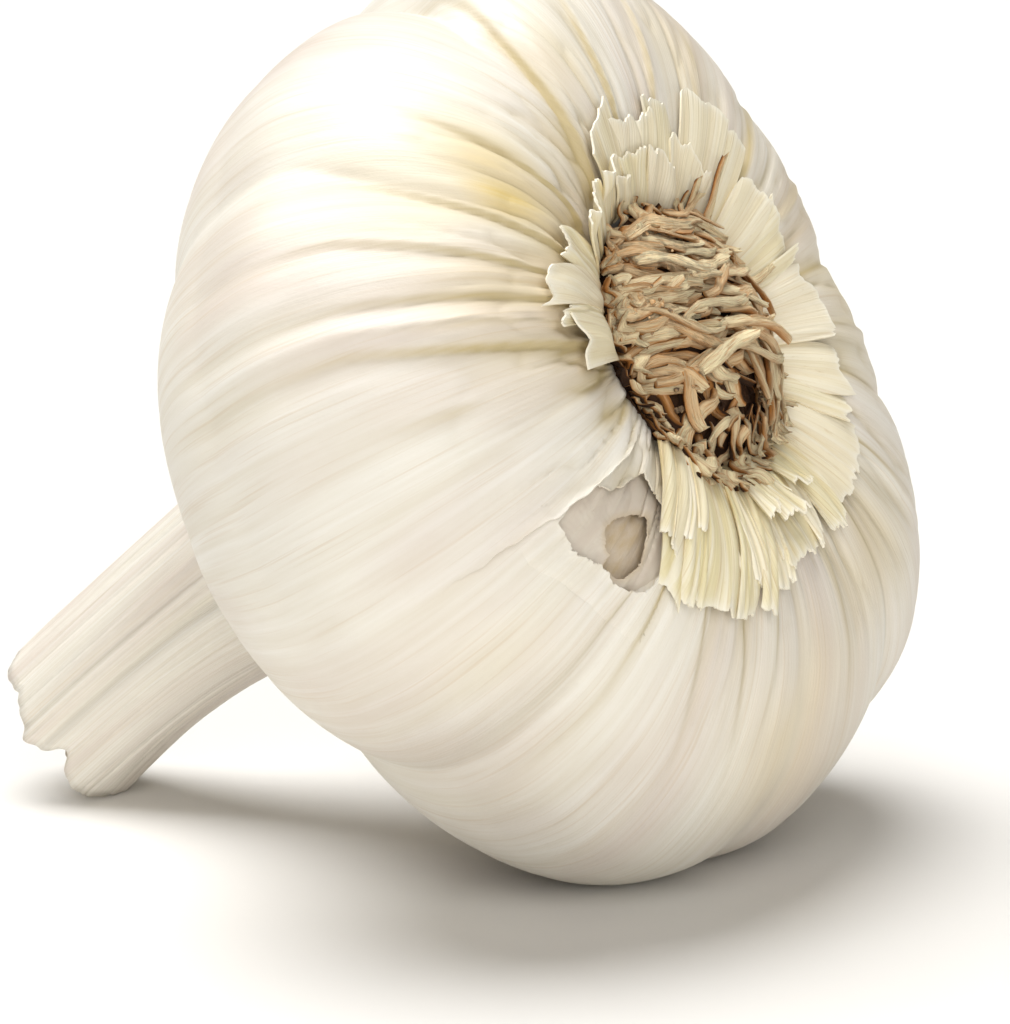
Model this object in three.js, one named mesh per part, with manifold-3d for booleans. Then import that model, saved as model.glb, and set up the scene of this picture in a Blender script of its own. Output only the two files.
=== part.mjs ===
// A garlic bulb as it lies on a table: cloves in one papery skin that runs on into the dried stem,
// a plate of dried roots, and the torn remains of the outer skins round the roots.
//
// Millimetres, +Z up. The bulb is shaped in its growing frame: the root plate at the origin, +Z along
// the stem, angles in degrees round the stem from the underside (0) by the front (90) and top (180).
// Lengths called "run" are measured along the skin from the rim of the root plate towards the stem tip.
import * as THREE from 'three';
import { mergeVertices } from 'three/addons/utils/BufferGeometryUtils.js';
import Module from 'manifold-3d';

const { degToRad, clamp, lerp, smoothstep } = THREE.MathUtils;

// ---------------------------------------------------------------- driving dimensions

// Half outline of the bulb and stem, as [radius, height above the root plate].
const OUTLINE = [
  [9.2, 1.5], [12.2, -0.2], [17.7, -1.1], [24.1, 0.8], [29.8, 5.7], [32.8, 11.9], [33.2, 17.0],
  [31.7, 22.5], [27.8, 27.7], [22.0, 31.8], [15.5, 34.5], [10.5, 37.3], [8.1, 40.9], [7.1, 45.9],
  [6.6, 53.0], [6.5, 65.0],
];

// Cloves round the bulb: the groove each one starts at, how far the groove floor stands off the
// outline, how far the clove swells past its grooves, and how far its groove turns by the root plate.
const CLOVES = [
  { groove: 2, floor: 0.0, swell: 1.8, turn: 0 },
  { groove: 48, floor: -2.3, swell: 4.1, turn: 0 },
  { groove: 132, floor: -1.6, swell: 1.2, turn: -8 },
  { groove: 178, floor: -3.4, swell: 4.2, turn: -18 },
  { groove: 238, floor: 0.2, swell: 1.2, turn: 0 },
  { groove: 266, floor: -2.2, swell: 0.9, turn: 0 },
  { groove: 291, floor: 0.2, swell: 3.5, turn: 0 },
  { groove: 329, floor: 1.0, swell: 0.7, turn: 0 },
];
const CLOVE_ROUNDNESS = 2.4;
const WIDEST = 33.2;
const LOBE_FADE_RADIUS = [9, 24];
const LOBE_FADE_HEIGHT = [35, 42];
const ROOT_SHIFT = { to: [-1.4, 3.6], over: 20 };
const TURN_HEIGHT = 14;

// Creases (depth > 0) and ridges (depth < 0) in the skin: the angle at the root plate and on the
// belly, the run where they start and stop, their depth in millimetres and half width in degrees.
const FOLDS = [
  { from: 146, to: 175, start: 3, stop: 40, depth: 1.2, half: 7 },
  { from: 133, to: 141, start: 3, stop: 27, depth: 0.9, half: 3.6 },
  { from: 116, to: 127, start: 5, stop: 36, depth: 0.9, half: 3.6 },
  { from: 109, to: 117, start: 7, stop: 44, depth: 0.7, half: 3.6 },
  { from: 104, to: 108, start: 4, stop: 44, depth: 1.0, half: 3.6 },
  { from: 99, to: 104, start: 5, stop: 36, depth: -0.7, half: 3.6 },
  { from: 92, to: 102, start: 2, stop: 46, depth: 1.2, half: 4 },
  { from: 87, to: 92, start: 17, stop: 36, depth: 0.5, half: 6 },
  { from: 46, to: 44, start: 13, stop: 38, depth: 1.0, half: 3.6 },
  { from: 52, to: 51, start: 16, stop: 40, depth: 0.4, half: 5 },
  { from: 41, to: 28, start: 10, stop: 30, depth: 0.5, half: 3.6 },
  { from: 28, to: 18, start: 8, stop: 30, depth: 0.5, half: 3.6 },
  { from: 10, to: 16, start: 8, stop: 26, depth: 0.4, half: 3.6 },
  { from: 176, to: 190, start: 4, stop: 24, depth: 0.6, half: 3.6 },
  { from: 196, to: 206, start: 4, stop: 26, depth: 0.6, half: 3.6 },
  { from: 214, to: 220, start: 4, stop: 26, depth: 0.6, half: 3.6 },
  { from: 234, to: 238, start: 4, stop: 40, depth: 1.1, half: 5 },
  { from: 251, to: 252, start: 6, stop: 30, depth: 0.6, half: 4 },
  { from: 266, to: 266, start: 4, stop: 44, depth: 0.9, half: 5 },
  { from: 280, to: 278, start: 6, stop: 34, depth: 0.5, half: 4 },
  { from: 292, to: 291, start: 4, stop: 44, depth: 1.1, half: 5 },
  { from: 310, to: 306, start: 6, stop: 30, depth: 0.5, half: 4 },
  { from: 331, to: 329, start: 4, stop: 40, depth: 1.0, half: 5 },
  { from: 347, to: 348, start: 6, stop: 28, depth: 0.5, half: 4 },
];
const FOLD_SETTLE_RUN = 26;
const FOLD_RISE_RUN = 3;
const FOLD_FADE_RUN = 9;

// The window torn in the outer skin, where an inner skin and a clove show.
const TEAR = { angle: 59, run: 13.0, halfAngle: 12, halfRun: 4.6, floor: 0.75, depth: 0.8 };

// The stem: the height it starts at, the creases along it, its flattening, the bend off the bulb's
// axis, and the foot that spreads on the table.
const STEM = {
  from: 36, settle: 8, creases: [78, 96, 250], creaseHalf: 9, creaseDepth: 0.5,
  flatten: 0.06, flattenAngle: 120, bendFrom: 30, bendOver: 31.8, bend: [6.7, 2.8], bendPower: 1.6,
  footFrom: 52, footReach: 0.7, footHalf: 55,
};

// The stem's torn end: how far it slants and which side is shorter, its two waves of jags as
// [count round the stem, phase, depth], and one notch.
const STEM_END = {
  slant: 3.2, slantAngle: 30, jags: [[7, 0, 0.35], [3, 40, 0.3]],
  notchAngle: 62, notchHalf: 14, notchDepth: 1.3,
};
// Rings of the cut end, as [share of the stem's radius, depth below its rim], and how far each ring
// stands off the table past the one outside it.
const STEM_END_RINGS = [[0.86, 0.1], [0.8, 1.6], [0.62, 1.8], [0.56, 0.7], [0.36, 1.0], [0.3, 2.2]];
const END_RING_CLEARANCE = 0.25;
// Rings of the dish that holds the root plate, as [share of its rim, height above the root plate].
const ROOT_DISH_RINGS = [[0.96, 2.0], [0.5, 2.2]];

// How it lies: the stem slopes down by TILT, and its root plate stands at ROOT_AT above the table.
const TILT = 25.7;
const ROOT_AT = new THREE.Vector3(23.8, 2.1, 38.25);

const ANGLE_STEPS = 108;
const BODY_STEPS = 23;
const STEM_STEPS = 6;
const STEM_RUN = 66;

// Torn skin remains: the sector each covers, the run of its outer edge at both sides of the sector,
// how much the edge is torn back, how far it sweeps round per millimetre of run, how many pleats it
// has, and how far its edge lifts off the bulb.
const FLAPS = [
  { name: 'skin_flap_top', from: 156, to: 228, reach: [9.2, 8.0], jag: 1.9, sweep: 0.3, pleats: 8,
    lift: 0.5, steps: 22, rows: 4, seed: 11 },
  { name: 'skin_flap_upper_left', from: 126, to: 152, reach: [6.4, 7.0], jag: 1.6, sweep: 0, pleats: 2,
    lift: 2.6, steps: 9, rows: 5, seed: 23 },
  { name: 'skin_flap_left', from: 95, to: 121, reach: [8.0, 11.6], jag: 1.5, sweep: 0, pleats: 3,
    lift: 1.9, steps: 10, rows: 6, seed: 37 },
  { name: 'skin_flap_fan', from: 24, to: 62, reach: [11.4, 17.8], jag: 1.2, sweep: -0.6, pleats: 7,
    lift: 0.5, steps: 24, rows: 6, seed: 41 },
  { name: 'skin_flap_lower_right', from: -22, to: 19, reach: [9.4, 8.6], jag: 2.3, sweep: 0, pleats: 5,
    lift: 0.9, steps: 14, rows: 4, seed: 53 },
  { name: 'skin_flap_right', from: 300, to: 334, reach: [7.6, 8.8], jag: 2.2, sweep: 0, pleats: 4,
    lift: 0.8, steps: 12, rows: 4, seed: 67 },
  { name: 'skin_flap_far', from: 236, to: 295, reach: [6.6, 8.4], jag: 1.8, sweep: 0, pleats: 6,
    lift: 0.4, steps: 18, rows: 3, seed: 79 },
  { name: 'skin_tongue', from: 66.4, to: 69.6, start: 12.4, reach: [27, 27], jag: 0.6, sweep: 0.24,
    pleats: 0.5, lift: -0.2, gap: 0.7, steps: 3, rows: 6, seed: 83 },
];
const FLAP_START = 1.5;
const FLAP_NORMAL_STEP = 8;
const FLAP_THICKNESS = 0.6;
const FLAP_GAP = 0.42;
const FLAP_SHOULDER = { corner: 0.6, rise: 1.6 };
const FLAP_CURL = 2.2;
const PLEAT_HEIGHT = 0.45;

// The root plate: a low cushion of dried roots, sunk in the dish. The roots lie over it in layers, all
// combed much the same way, each one's ends dipping into the cushion.
const PLATE = { radius: 8.8, under: 1.5, rim: 0.2, crown: -2.6, fall: 3, sides: 28, rings: 4 };
const ROOTS = {
  count: 54, seed: 10, width: [1.2, 1.7], length: [5, 10.5], layers: 3, layerLift: 0.75,
  heading: 110, headingSpread: 20, waves: 0.45, segments: 3, sunk: 0.15, dip: 1.3, dipPower: 3,
  edge: 0.3, underRim: 0.5, keel: 0.5, finest: 0.08,
};

const COLOURS = { skin: 0xe9e0cf, flap: 0xdccfae, root: 0xa88a5f };

const SEED_SPREAD = 104729;
const LEHMER_FACTOR = 16807;
const LEHMER_PRIME = 2147483647;

// ---------------------------------------------------------------- the skin's shape

const outline = new THREE.SplineCurve(OUTLINE.map(([radius, height]) => new THREE.Vector2(radius, height)));
const RUN_LENGTH = outline.getLength();

/** Difference between two angles in degrees, from -180 to 180. */
function turnBetween(a, b) {
  return THREE.MathUtils.euclideanModulo(a - b + 180, 360) - 180;
}

/** How far the cloves stand off the outline at an angle, at a height above the root plate. */
function cloveOffset(angle, height) {
  const nearRoot = 1 - smoothstep(height, 0, TURN_HEIGHT);
  for (let i = 0; i < CLOVES.length; i += 1) {
    const clove = CLOVES[i];
    const next = CLOVES[(i + 1) % CLOVES.length];
    const low = clove.groove + clove.turn * nearRoot;
    const high = next.groove + next.turn * nearRoot;
    const width = THREE.MathUtils.euclideanModulo(high - low, 360);
    const share = THREE.MathUtils.euclideanModulo(angle - low, 360) / width;
    if (share < 1) {
      const arch = 1 - Math.abs(2 * share - 1) ** CLOVE_ROUNDNESS;
      return lerp(clove.floor, next.floor, share) + clove.swell * arch;
    }
  }
  return 0;
}

/** A soft bump that is 1 in the middle and 0 from one half width away. */
function bump(x) {
  return Math.abs(x) < 1 ? (1 - x * x) ** 2 : 0;
}

/** How far creases and ridges pull the skin in at an angle and run. */
function foldDepth(angle, run) {
  let depth = 0;
  for (const fold of FOLDS) {
    const middle = lerp(fold.from, fold.to, clamp(run / FOLD_SETTLE_RUN, 0, 1));
    const fadeIn = smoothstep(run, fold.start, fold.start + FOLD_RISE_RUN);
    const fadeOut = 1 - smoothstep(run, fold.stop - FOLD_FADE_RUN, fold.stop);
    depth += fold.depth * fadeIn * fadeOut * bump(turnBetween(angle, middle) / fold.half);
  }
  return depth;
}

/** The torn window's depth at an angle and run. */
function tearDepth(angle, run) {
  const x = turnBetween(angle, TEAR.angle) / TEAR.halfAngle;
  const y = (run - TEAR.run) / TEAR.halfRun;
  return TEAR.depth * (1 - smoothstep(Math.hypot(x, y), TEAR.floor, 1));
}

/** How far the stem's creases, flattening and foot change its radius. */
function stemOffset(angle, height, radius) {
  const onStem = smoothstep(height, STEM.from, STEM.from + STEM.settle);
  let offset = -STEM.flatten * radius * Math.cos(degToRad(2 * (angle - STEM.flattenAngle)));
  for (const crease of STEM.creases) {
    offset -= STEM.creaseDepth * bump(turnBetween(angle, crease) / STEM.creaseHalf);
  }
  const foot = smoothstep(height, STEM.footFrom, outline.getPointAt(1).y);
  offset += STEM.footReach * foot * bump(turnBetween(angle, 0) / STEM.footHalf);
  return onStem * offset;
}

/** The run at which the stem's torn end stops at an angle. */
function endRun(angle) {
  const notch = STEM_END.notchDepth * bump(turnBetween(angle, STEM_END.notchAngle) / STEM_END.notchHalf);
  const slant = STEM_END.slant * 0.5 * (1 + Math.cos(degToRad(angle - STEM_END.slantAngle)));
  let run = RUN_LENGTH - notch - slant;
  for (const [count, phase, depth] of STEM_END.jags) {
    run -= depth * (1 + Math.sin(degToRad(count * angle + phase)));
  }
  return run;
}

/** Moves a point with the bulb's axis, which bends along the stem and leans at the root plate. */
function bent(point) {
  const up = (Math.max(point.z - STEM.bendFrom, 0) / STEM.bendOver) ** STEM.bendPower;
  const root = Math.max(1 - point.z / ROOT_SHIFT.over, 0);
  const x = STEM.bend[0] * up + ROOT_SHIFT.to[0] * root;
  const y = STEM.bend[1] * up + ROOT_SHIFT.to[1] * root;
  return point.add(new THREE.Vector3(x, y, 0));
}

/** The skin at an angle and run, in the growing frame. */
function skinPoint(angle, run) {
  const share = clamp(run / RUN_LENGTH, 0, 1);
  const { x: radius, y: height } = outline.getPointAt(share);
  const byRadius = clamp(THREE.MathUtils.inverseLerp(...LOBE_FADE_RADIUS, radius), 0, 1);
  const byHeight = 1 - smoothstep(height, ...LOBE_FADE_HEIGHT);
  const lobes = (byRadius * byHeight * radius * cloveOffset(angle, height)) / WIDEST;
  const hollows = foldDepth(angle, run) + tearDepth(angle, run);
  const r = radius + lobes - hollows + stemOffset(angle, height, radius);
  const a = degToRad(angle);
  return bent(new THREE.Vector3(r * Math.cos(a), r * Math.sin(a), height));
}

/** The outward direction of the skin at an angle and run, found over a step in degrees and millimetres. */
function skinNormal(angle, run, step) {
  const around = skinPoint(angle + step, run).sub(skinPoint(angle - step, run));
  const along = skinPoint(angle, run + step).sub(skinPoint(angle, Math.max(run - step, 0)));
  return around.cross(along).normalize();
}

// ---------------------------------------------------------------- meshes

/** A closed geometry from points and triangles. */
function geometryOf(points, triangles) {
  const geometry = new THREE.BufferGeometry();
  const values = points.flatMap((point) => point.toArray());
  geometry.setAttribute('position', new THREE.Float32BufferAttribute(values, 3));
  geometry.setIndex(triangles.flat());
  geometry.computeVertexNormals();
  return geometry;
}

/** Triangles that join two rings of the same count, seen from outside as they turn. */
function ringBand(first, second, count) {
  const triangles = [];
  for (let i = 0; i < count; i += 1) {
    const j = (i + 1) % count;
    triangles.push([first + i, first + j, second + j], [first + i, second + j, second + i]);
  }
  return triangles;
}

/** Moves a point of the growing frame up to the table, or to a clearance above it, if it is lower. */
function onTable(point, clearance = 0) {
  const down = new THREE.Vector3(Math.cos(degToRad(TILT)), 0, Math.sin(degToRad(TILT)));
  const below = point.dot(down) - ROOT_AT.z + clearance;
  return below > 0 ? point.addScaledVector(down, -below) : point;
}

/** The bulb: rings of skin from the dish under the root plate to the torn end of the stem. */
function makeBulb() {
  const angles = Array.from({ length: ANGLE_STEPS }, (_, i) => (i * 360) / ANGLE_STEPS);
  const rings = [];
  const rim = angles.map((angle) => skinPoint(angle, 0));
  const middle = bent(new THREE.Vector3(0, 0, OUTLINE[0][1]));
  for (const [share, height] of [...ROOT_DISH_RINGS].reverse()) {
    rings.push(rim.map((point) => new THREE.Vector3(
      lerp(middle.x, point.x, share), lerp(middle.y, point.y, share), height)));
  }
  for (let j = 0; j <= BODY_STEPS + STEM_STEPS; j += 1) {
    const onBody = (j * STEM_RUN) / BODY_STEPS;
    const upStem = (j - BODY_STEPS) / STEM_STEPS;
    rings.push(angles.map((angle) => onTable(
      skinPoint(angle, upStem > 0 ? lerp(STEM_RUN, endRun(angle), upStem) : onBody))));
  }
  const end = rings[rings.length - 1];
  const axis = end.reduce((sum, point) => sum.add(point), new THREE.Vector3()).divideScalar(end.length);
  STEM_END_RINGS.forEach(([share, depth], k) => {
    const inset = (point) => new THREE.Vector3().lerpVectors(axis, point, share).setZ(
      lerp(axis.z, point.z, share) - depth);
    rings.push(end.map((point) => onTable(inset(point), (k + 1) * END_RING_CLEARANCE)));
  });
  const points = rings.flat();
  const triangles = [];
  for (let k = 0; k + 1 < rings.length; k += 1) {
    triangles.push(...ringBand(k * ANGLE_STEPS, (k + 1) * ANGLE_STEPS, ANGLE_STEPS));
  }
  const rootCentre = points.push(middle.clone().setZ(ROOT_DISH_RINGS[1][1])) - 1;
  const endCentre = points.push(axis.clone().setZ(axis.z - STEM_END_RINGS.at(-1)[1])) - 1;
  const last = (rings.length - 1) * ANGLE_STEPS;
  for (let i = 0; i < ANGLE_STEPS; i += 1) {
    const j = (i + 1) % ANGLE_STEPS;
    triangles.push([rootCentre, j, i], [endCentre, last + i, last + j]);
  }
  return geometryOf(points, triangles);
}

/** A repeatable run of random numbers from 0 to 1, from a whole number above 0. */
function seededRandom(seed) {
  let state = seed * SEED_SPREAD;
  return () => {
    state = (state * LEHMER_FACTOR) % LEHMER_PRIME;
    return state / LEHMER_PRIME;
  };
}

/** One torn flap of skin: a thin pleated sheet that follows the bulb and lifts off it at its edge. */
function makeFlap(flap) {
  const random = seededRandom(flap.seed);
  const tears = Array.from({ length: flap.steps + 1 }, () => random());
  const points = [];
  for (const side of [0, 1]) {
    for (let i = 0; i <= flap.steps; i += 1) {
      const across = i / flap.steps;
      const roundness = FLAP_SHOULDER.corner + FLAP_SHOULDER.rise * Math.sqrt(across * (1 - across));
      const shoulder = Math.min(1, roundness);
      const edge = lerp(flap.reach[0], flap.reach[1], across) * shoulder - flap.jag * tears[i];
      for (let j = 0; j <= flap.rows; j += 1) {
        const out = j / flap.rows;
        const run = lerp(flap.start ?? FLAP_START, edge, out);
        const angle = lerp(flap.from, flap.to, across) + flap.sweep * (run - FLAP_START);
        const pleat = PLEAT_HEIGHT * out * (1 + Math.cos(2 * Math.PI * flap.pleats * across));
        const lift = (flap.gap ?? FLAP_GAP) + pleat + flap.lift * out ** FLAP_CURL;
        const smooth = skinNormal(angle, run, FLAP_NORMAL_STEP);
        points.push(skinPoint(angle, run).addScaledVector(smooth, lift + side * FLAP_THICKNESS));
      }
    }
  }
  const row = flap.rows + 1;
  const sheet = (flap.steps + 1) * row;
  const triangles = [];
  const quad = (a, b, c, d) => triangles.push([a, b, c], [a, c, d]);
  for (let i = 0; i < flap.steps; i += 1) {
    for (let j = 0; j < flap.rows; j += 1) {
      const a = i * row + j;
      triangles.push([a, a + 1, a + row + 1], [a, a + row + 1, a + row]);
      triangles.push([sheet + a, sheet + a + row + 1, sheet + a + 1]);
      triangles.push([sheet + a, sheet + a + row, sheet + a + row + 1]);
    }
    const inner = i * row;
    const outer = inner + flap.rows;
    quad(inner, inner + row, sheet + inner + row, sheet + inner);
    quad(outer + row, outer, sheet + outer, sheet + outer + row);
  }
  for (let j = 0; j < flap.rows; j += 1) {
    const far = flap.steps * row + j;
    quad(j + 1, j, sheet + j, sheet + j + 1);
    quad(far, far + 1, sheet + far + 1, sheet + far);
  }
  return geometryOf(points, triangles);
}

// ---------------------------------------------------------------- root plate

const wasm = await Module();
wasm.setup();

/** A manifold solid from a closed geometry. */
function solidOf(geometry) {
  const bare = geometry.clone();
  bare.deleteAttribute('normal');
  bare.deleteAttribute('uv');
  const merged = mergeVertices(bare, 1e-4);
  const corners = merged.getIndex().array;
  const kept = [];
  for (let t = 0; t < corners.length; t += 3) {
    const [a, b, c] = corners.slice(t, t + 3);
    if (a !== b && b !== c && c !== a) kept.push(a, b, c);
  }
  const vertProperties = new Float32Array(merged.getAttribute('position').array);
  const triVerts = new Uint32Array(kept);
  return new wasm.Manifold(new wasm.Mesh({ numProp: 3, vertProperties, triVerts }));
}

/** A geometry from a manifold solid. */
function geometryFromSolid(solid) {
  const { vertProperties, triVerts } = solid.getMesh();
  const geometry = new THREE.BufferGeometry();
  geometry.setAttribute('position', new THREE.BufferAttribute(new Float32Array(vertProperties), 3));
  geometry.setIndex(new THREE.BufferAttribute(new Uint32Array(triVerts), 1));
  geometry.computeVertexNormals();
  return geometry;
}

/** Height of the root cushion's crown at a distance from its middle. */
function crownHeight(distance) {
  const share = clamp(distance / PLATE.radius, 0, 1);
  return lerp(PLATE.crown, PLATE.rim, share ** PLATE.fall);
}

/** The cushion that the roots stand out of: a low dome with a flat underside. */
function makeCushion() {
  const profile = [new THREE.Vector2(0, -PLATE.under), new THREE.Vector2(PLATE.radius, -PLATE.under)];
  for (let k = PLATE.rings; k >= 0; k -= 1) {
    const distance = (PLATE.radius * k) / PLATE.rings;
    profile.push(new THREE.Vector2(distance, -crownHeight(distance)));
  }
  // the lathe turns round Y: stand its axis along the stem, crown outwards
  return new THREE.LatheGeometry(profile, PLATE.sides).rotateX(-Math.PI / 2);
}

/** One dried root: a three-sided strand that lies over the cushion and dips into it at both ends. */
function makeRoot(random) {
  const spread = PLATE.radius * Math.sqrt(random());
  const turn = 2 * Math.PI * random();
  const centre = new THREE.Vector2(spread * Math.cos(turn), spread * Math.sin(turn));
  const length = lerp(ROOTS.length[0], ROOTS.length[1], random());
  const heading = degToRad(ROOTS.heading + lerp(-1, 1, random()) * ROOTS.headingSpread);
  const width = lerp(ROOTS.width[0], ROOTS.width[1], random());
  const layer = Math.floor(ROOTS.layers * random());
  const phase = 2 * Math.PI * random();
  const along = new THREE.Vector2(Math.cos(heading), Math.sin(heading));
  const aside = new THREE.Vector2(-along.y, along.x);
  const middles = [];
  for (let k = 0; k <= ROOTS.segments; k += 1) {
    const share = k / ROOTS.segments;
    const sway = ROOTS.waves * Math.sin(phase + share * 2 * Math.PI);
    const spot = centre.clone().addScaledVector(along, length * (share - 0.5)).addScaledVector(aside, sway);
    spot.clampLength(0, PLATE.radius - ROOTS.edge);
    const dip = ROOTS.dip * Math.abs(2 * share - 1) ** ROOTS.dipPower;
    const height = crownHeight(spot.length()) - ROOTS.sunk - layer * ROOTS.layerLift + dip;
    middles.push(new THREE.Vector3(spot.x, spot.y, Math.min(height, PLATE.rim + ROOTS.underRim)));
  }
  const points = [];
  const half = width / 2;
  for (const middle of middles) {
    for (const [side, depth] of [[1, ROOTS.keel], [0, -1], [-1, ROOTS.keel]]) {
      points.push(middle.clone().add(
        new THREE.Vector3(side * aside.x, side * aside.y, depth).multiplyScalar(half)));
    }
  }
  const triangles = [[0, 1, 2]];
  for (let k = 0; k < ROOTS.segments; k += 1) {
    triangles.push(...ringBand(3 * (k + 1), 3 * k, 3));
  }
  const end = 3 * ROOTS.segments;
  triangles.push([end, end + 2, end + 1]);
  return geometryOf(points, triangles);
}

/** The root plate: the cushion with its roots grown together, without loose scraps. */
function makeRootPlate() {
  const random = seededRandom(ROOTS.seed);
  const strands = Array.from({ length: ROOTS.count }, () => solidOf(makeRoot(random)));
  const joined = wasm.Manifold.union([solidOf(makeCushion()), ...strands]);
  const bodies = joined.asOriginal().simplify(ROOTS.finest).decompose();
  bodies.sort((a, b) => b.volume() - a.volume());
  return geometryFromSolid(bodies[0]);
}

// ---------------------------------------------------------------- the part

/** A named mesh with a matt finish. */
function makeMesh(name, geometry, colour, roughness) {
  const material = new THREE.MeshStandardMaterial({ color: colour, roughness, metalness: 0 });
  const mesh = new THREE.Mesh(geometry, material);
  mesh.name = name;
  return mesh;
}

const tilt = degToRad(TILT);
const lying = new THREE.Group();
lying.quaternion.setFromRotationMatrix(new THREE.Matrix4().makeBasis(
  new THREE.Vector3(Math.sin(tilt), 0, -Math.cos(tilt)),
  new THREE.Vector3(0, -1, 0),
  new THREE.Vector3(-Math.cos(tilt), 0, -Math.sin(tilt)),
));
lying.position.copy(ROOT_AT);
lying.add(makeMesh('bulb', makeBulb(), COLOURS.skin, 0.55));
const rootPlate = makeMesh('root_plate', makeRootPlate(), COLOURS.root, 0.9);
rootPlate.position.copy(bent(new THREE.Vector3(0, 0, 0)));
lying.add(rootPlate);
for (const flap of FLAPS) {
  lying.add(makeMesh(flap.name, makeFlap(flap), COLOURS.flap, 0.6));
}

const garlic = new THREE.Group();
garlic.add(lying);

export default garlic;
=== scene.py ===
"""Garlic bulb: papery skin over swollen cloves, a cut stem, torn skin and a mat of dried roots.

Shapes are worked out in millimetres in the bulb's growing frame: the root plate by the origin, +Z along
the stem, angles in degrees round the stem from the underside (0) by the front (90) to the top (180).
Lengths called "run" are measured along the skin from the rim of the root plate towards the stem tip.
"""
from itertools import chain

import bpy
import numpy as np
from bpy.props import FloatProperty, FloatVectorProperty, IntProperty, PointerProperty
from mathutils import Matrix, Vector


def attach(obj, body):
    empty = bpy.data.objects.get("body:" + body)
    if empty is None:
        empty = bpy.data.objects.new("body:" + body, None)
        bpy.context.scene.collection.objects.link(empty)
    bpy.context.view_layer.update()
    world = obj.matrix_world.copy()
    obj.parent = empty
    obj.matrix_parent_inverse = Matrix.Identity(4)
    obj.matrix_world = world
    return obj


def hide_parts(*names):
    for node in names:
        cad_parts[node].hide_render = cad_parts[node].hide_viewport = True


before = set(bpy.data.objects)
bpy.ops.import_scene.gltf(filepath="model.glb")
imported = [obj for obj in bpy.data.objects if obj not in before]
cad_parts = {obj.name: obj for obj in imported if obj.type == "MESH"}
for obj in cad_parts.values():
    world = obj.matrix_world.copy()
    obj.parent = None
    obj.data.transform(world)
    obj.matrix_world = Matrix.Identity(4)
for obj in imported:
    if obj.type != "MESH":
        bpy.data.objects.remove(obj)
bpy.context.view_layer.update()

bl_info = {
    "name": "Garlic Bulb",
    "version": (1, 0, 0),
    "blender": (4, 5, 0),
    "location": "View3D > Sidebar > Garlic",
    "description": "Builds a dried garlic bulb with torn papery skin and dried roots",
    "category": "Add Mesh",
}

MM = 0.001
BODY = "root"
FULL_TURN = 6.28

# ---------------------------------------------------------------- the bulb's form

# radius and height of the skin, from the rim of the root dish to the stem's end
OUTLINE = np.array([
    [9.2, 1.5], [12.2, -0.2], [17.7, -1.1], [24.1, 0.8], [29.8, 5.7], [32.8, 11.9], [33.2, 17.0],
    [31.7, 22.5], [27.8, 27.7], [22.0, 31.8], [15.5, 34.5], [10.5, 37.3], [8.1, 40.9], [7.1, 45.9],
    [6.6, 53.0], [6.5, 65.0],
])
OUTLINE_SAMPLES = 200

# groove angle, height of the groove's floor, swell of the clove past it, turn by the root plate
CLOVES = [
    (2, 0.0, 1.8, 0), (48, -2.3, 4.1, 0), (132, -1.6, 1.2, -8), (178, -3.4, 4.2, -18),
    (238, 0.2, 1.2, 0), (266, -2.2, 0.9, 0), (291, 0.2, 3.5, 0), (329, 1.0, 0.7, 0),
]
CLOVE_ROUNDNESS = 2.4
WIDEST = 33.2
LOBE_FADE_RADIUS = (9, 24)
LOBE_FADE_HEIGHT = (35, 42)
ROOT_SHIFT = (-1.4, 3.6)
ROOT_SHIFT_OVER = 20
TURN_HEIGHT = 14

# angle at the root plate, angle on the belly, run from, run to, depth, half width in degrees
FOLDS = [
    (146, 175, 3, 40, 1.2, 7), (133, 141, 3, 27, 0.9, 3.6), (116, 127, 5, 36, 0.9, 3.6),
    (109, 117, 7, 44, 0.7, 3.6), (104, 108, 4, 44, 1.0, 3.6), (99, 104, 5, 36, -0.7, 3.6),
    (92, 102, 2, 46, 1.2, 4), (87, 92, 17, 36, 0.5, 6), (46, 44, 13, 38, 1.0, 3.6),
    (52, 51, 16, 40, 0.4, 5), (41, 28, 10, 30, 0.5, 3.6), (28, 18, 8, 30, 0.5, 3.6),
    (10, 16, 8, 26, 0.4, 3.6), (176, 190, 4, 24, 0.4, 3.6), (196, 206, 4, 26, 0.35, 3.6),
    (214, 220, 4, 26, 0.35, 3.6), (234, 238, 4, 40, 1.1, 5), (251, 252, 6, 30, 0.6, 4),
    (266, 266, 4, 44, 0.9, 5), (280, 278, 6, 34, 0.5, 4), (292, 291, 4, 44, 1.1, 5),
    (310, 306, 6, 30, 0.5, 4), (331, 329, 4, 40, 1.0, 5), (347, 348, 6, 28, 0.5, 4),
]
FOLD_SETTLE_RUN = 26
FOLD_RISE_RUN = 3
FOLD_FADE_RUN = 9
# share of the folds' depth by the roots, the share lost beyond, and the run over which it is lost
FOLD_SCALE, FOLD_EASE, FOLD_EASE_RUN = 0.88, 0.5, (8, 23)
# the far side, where folds are shallower: its middle, how far off it that begins and is complete, by
# what share
BACK_ANGLE, BACK_REACH, BACK_EASE = 280, (110, 60), 0.35
# the raised edge along a fold, in half widths of the fold: half width of its rise, speed of its fall
EDGE_HALF, EDGE_FALL = 0.13, 2.0
# share of a fold's width that the sharp line along its middle takes
FOLD_LINE = 0.3

TEAR_ANGLE, TEAR_RUN = 59, 13.0
TEAR_HALF_ANGLE, TEAR_HALF_RUN = 15, 6.2
TEAR_FLOOR = 0.75

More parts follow.
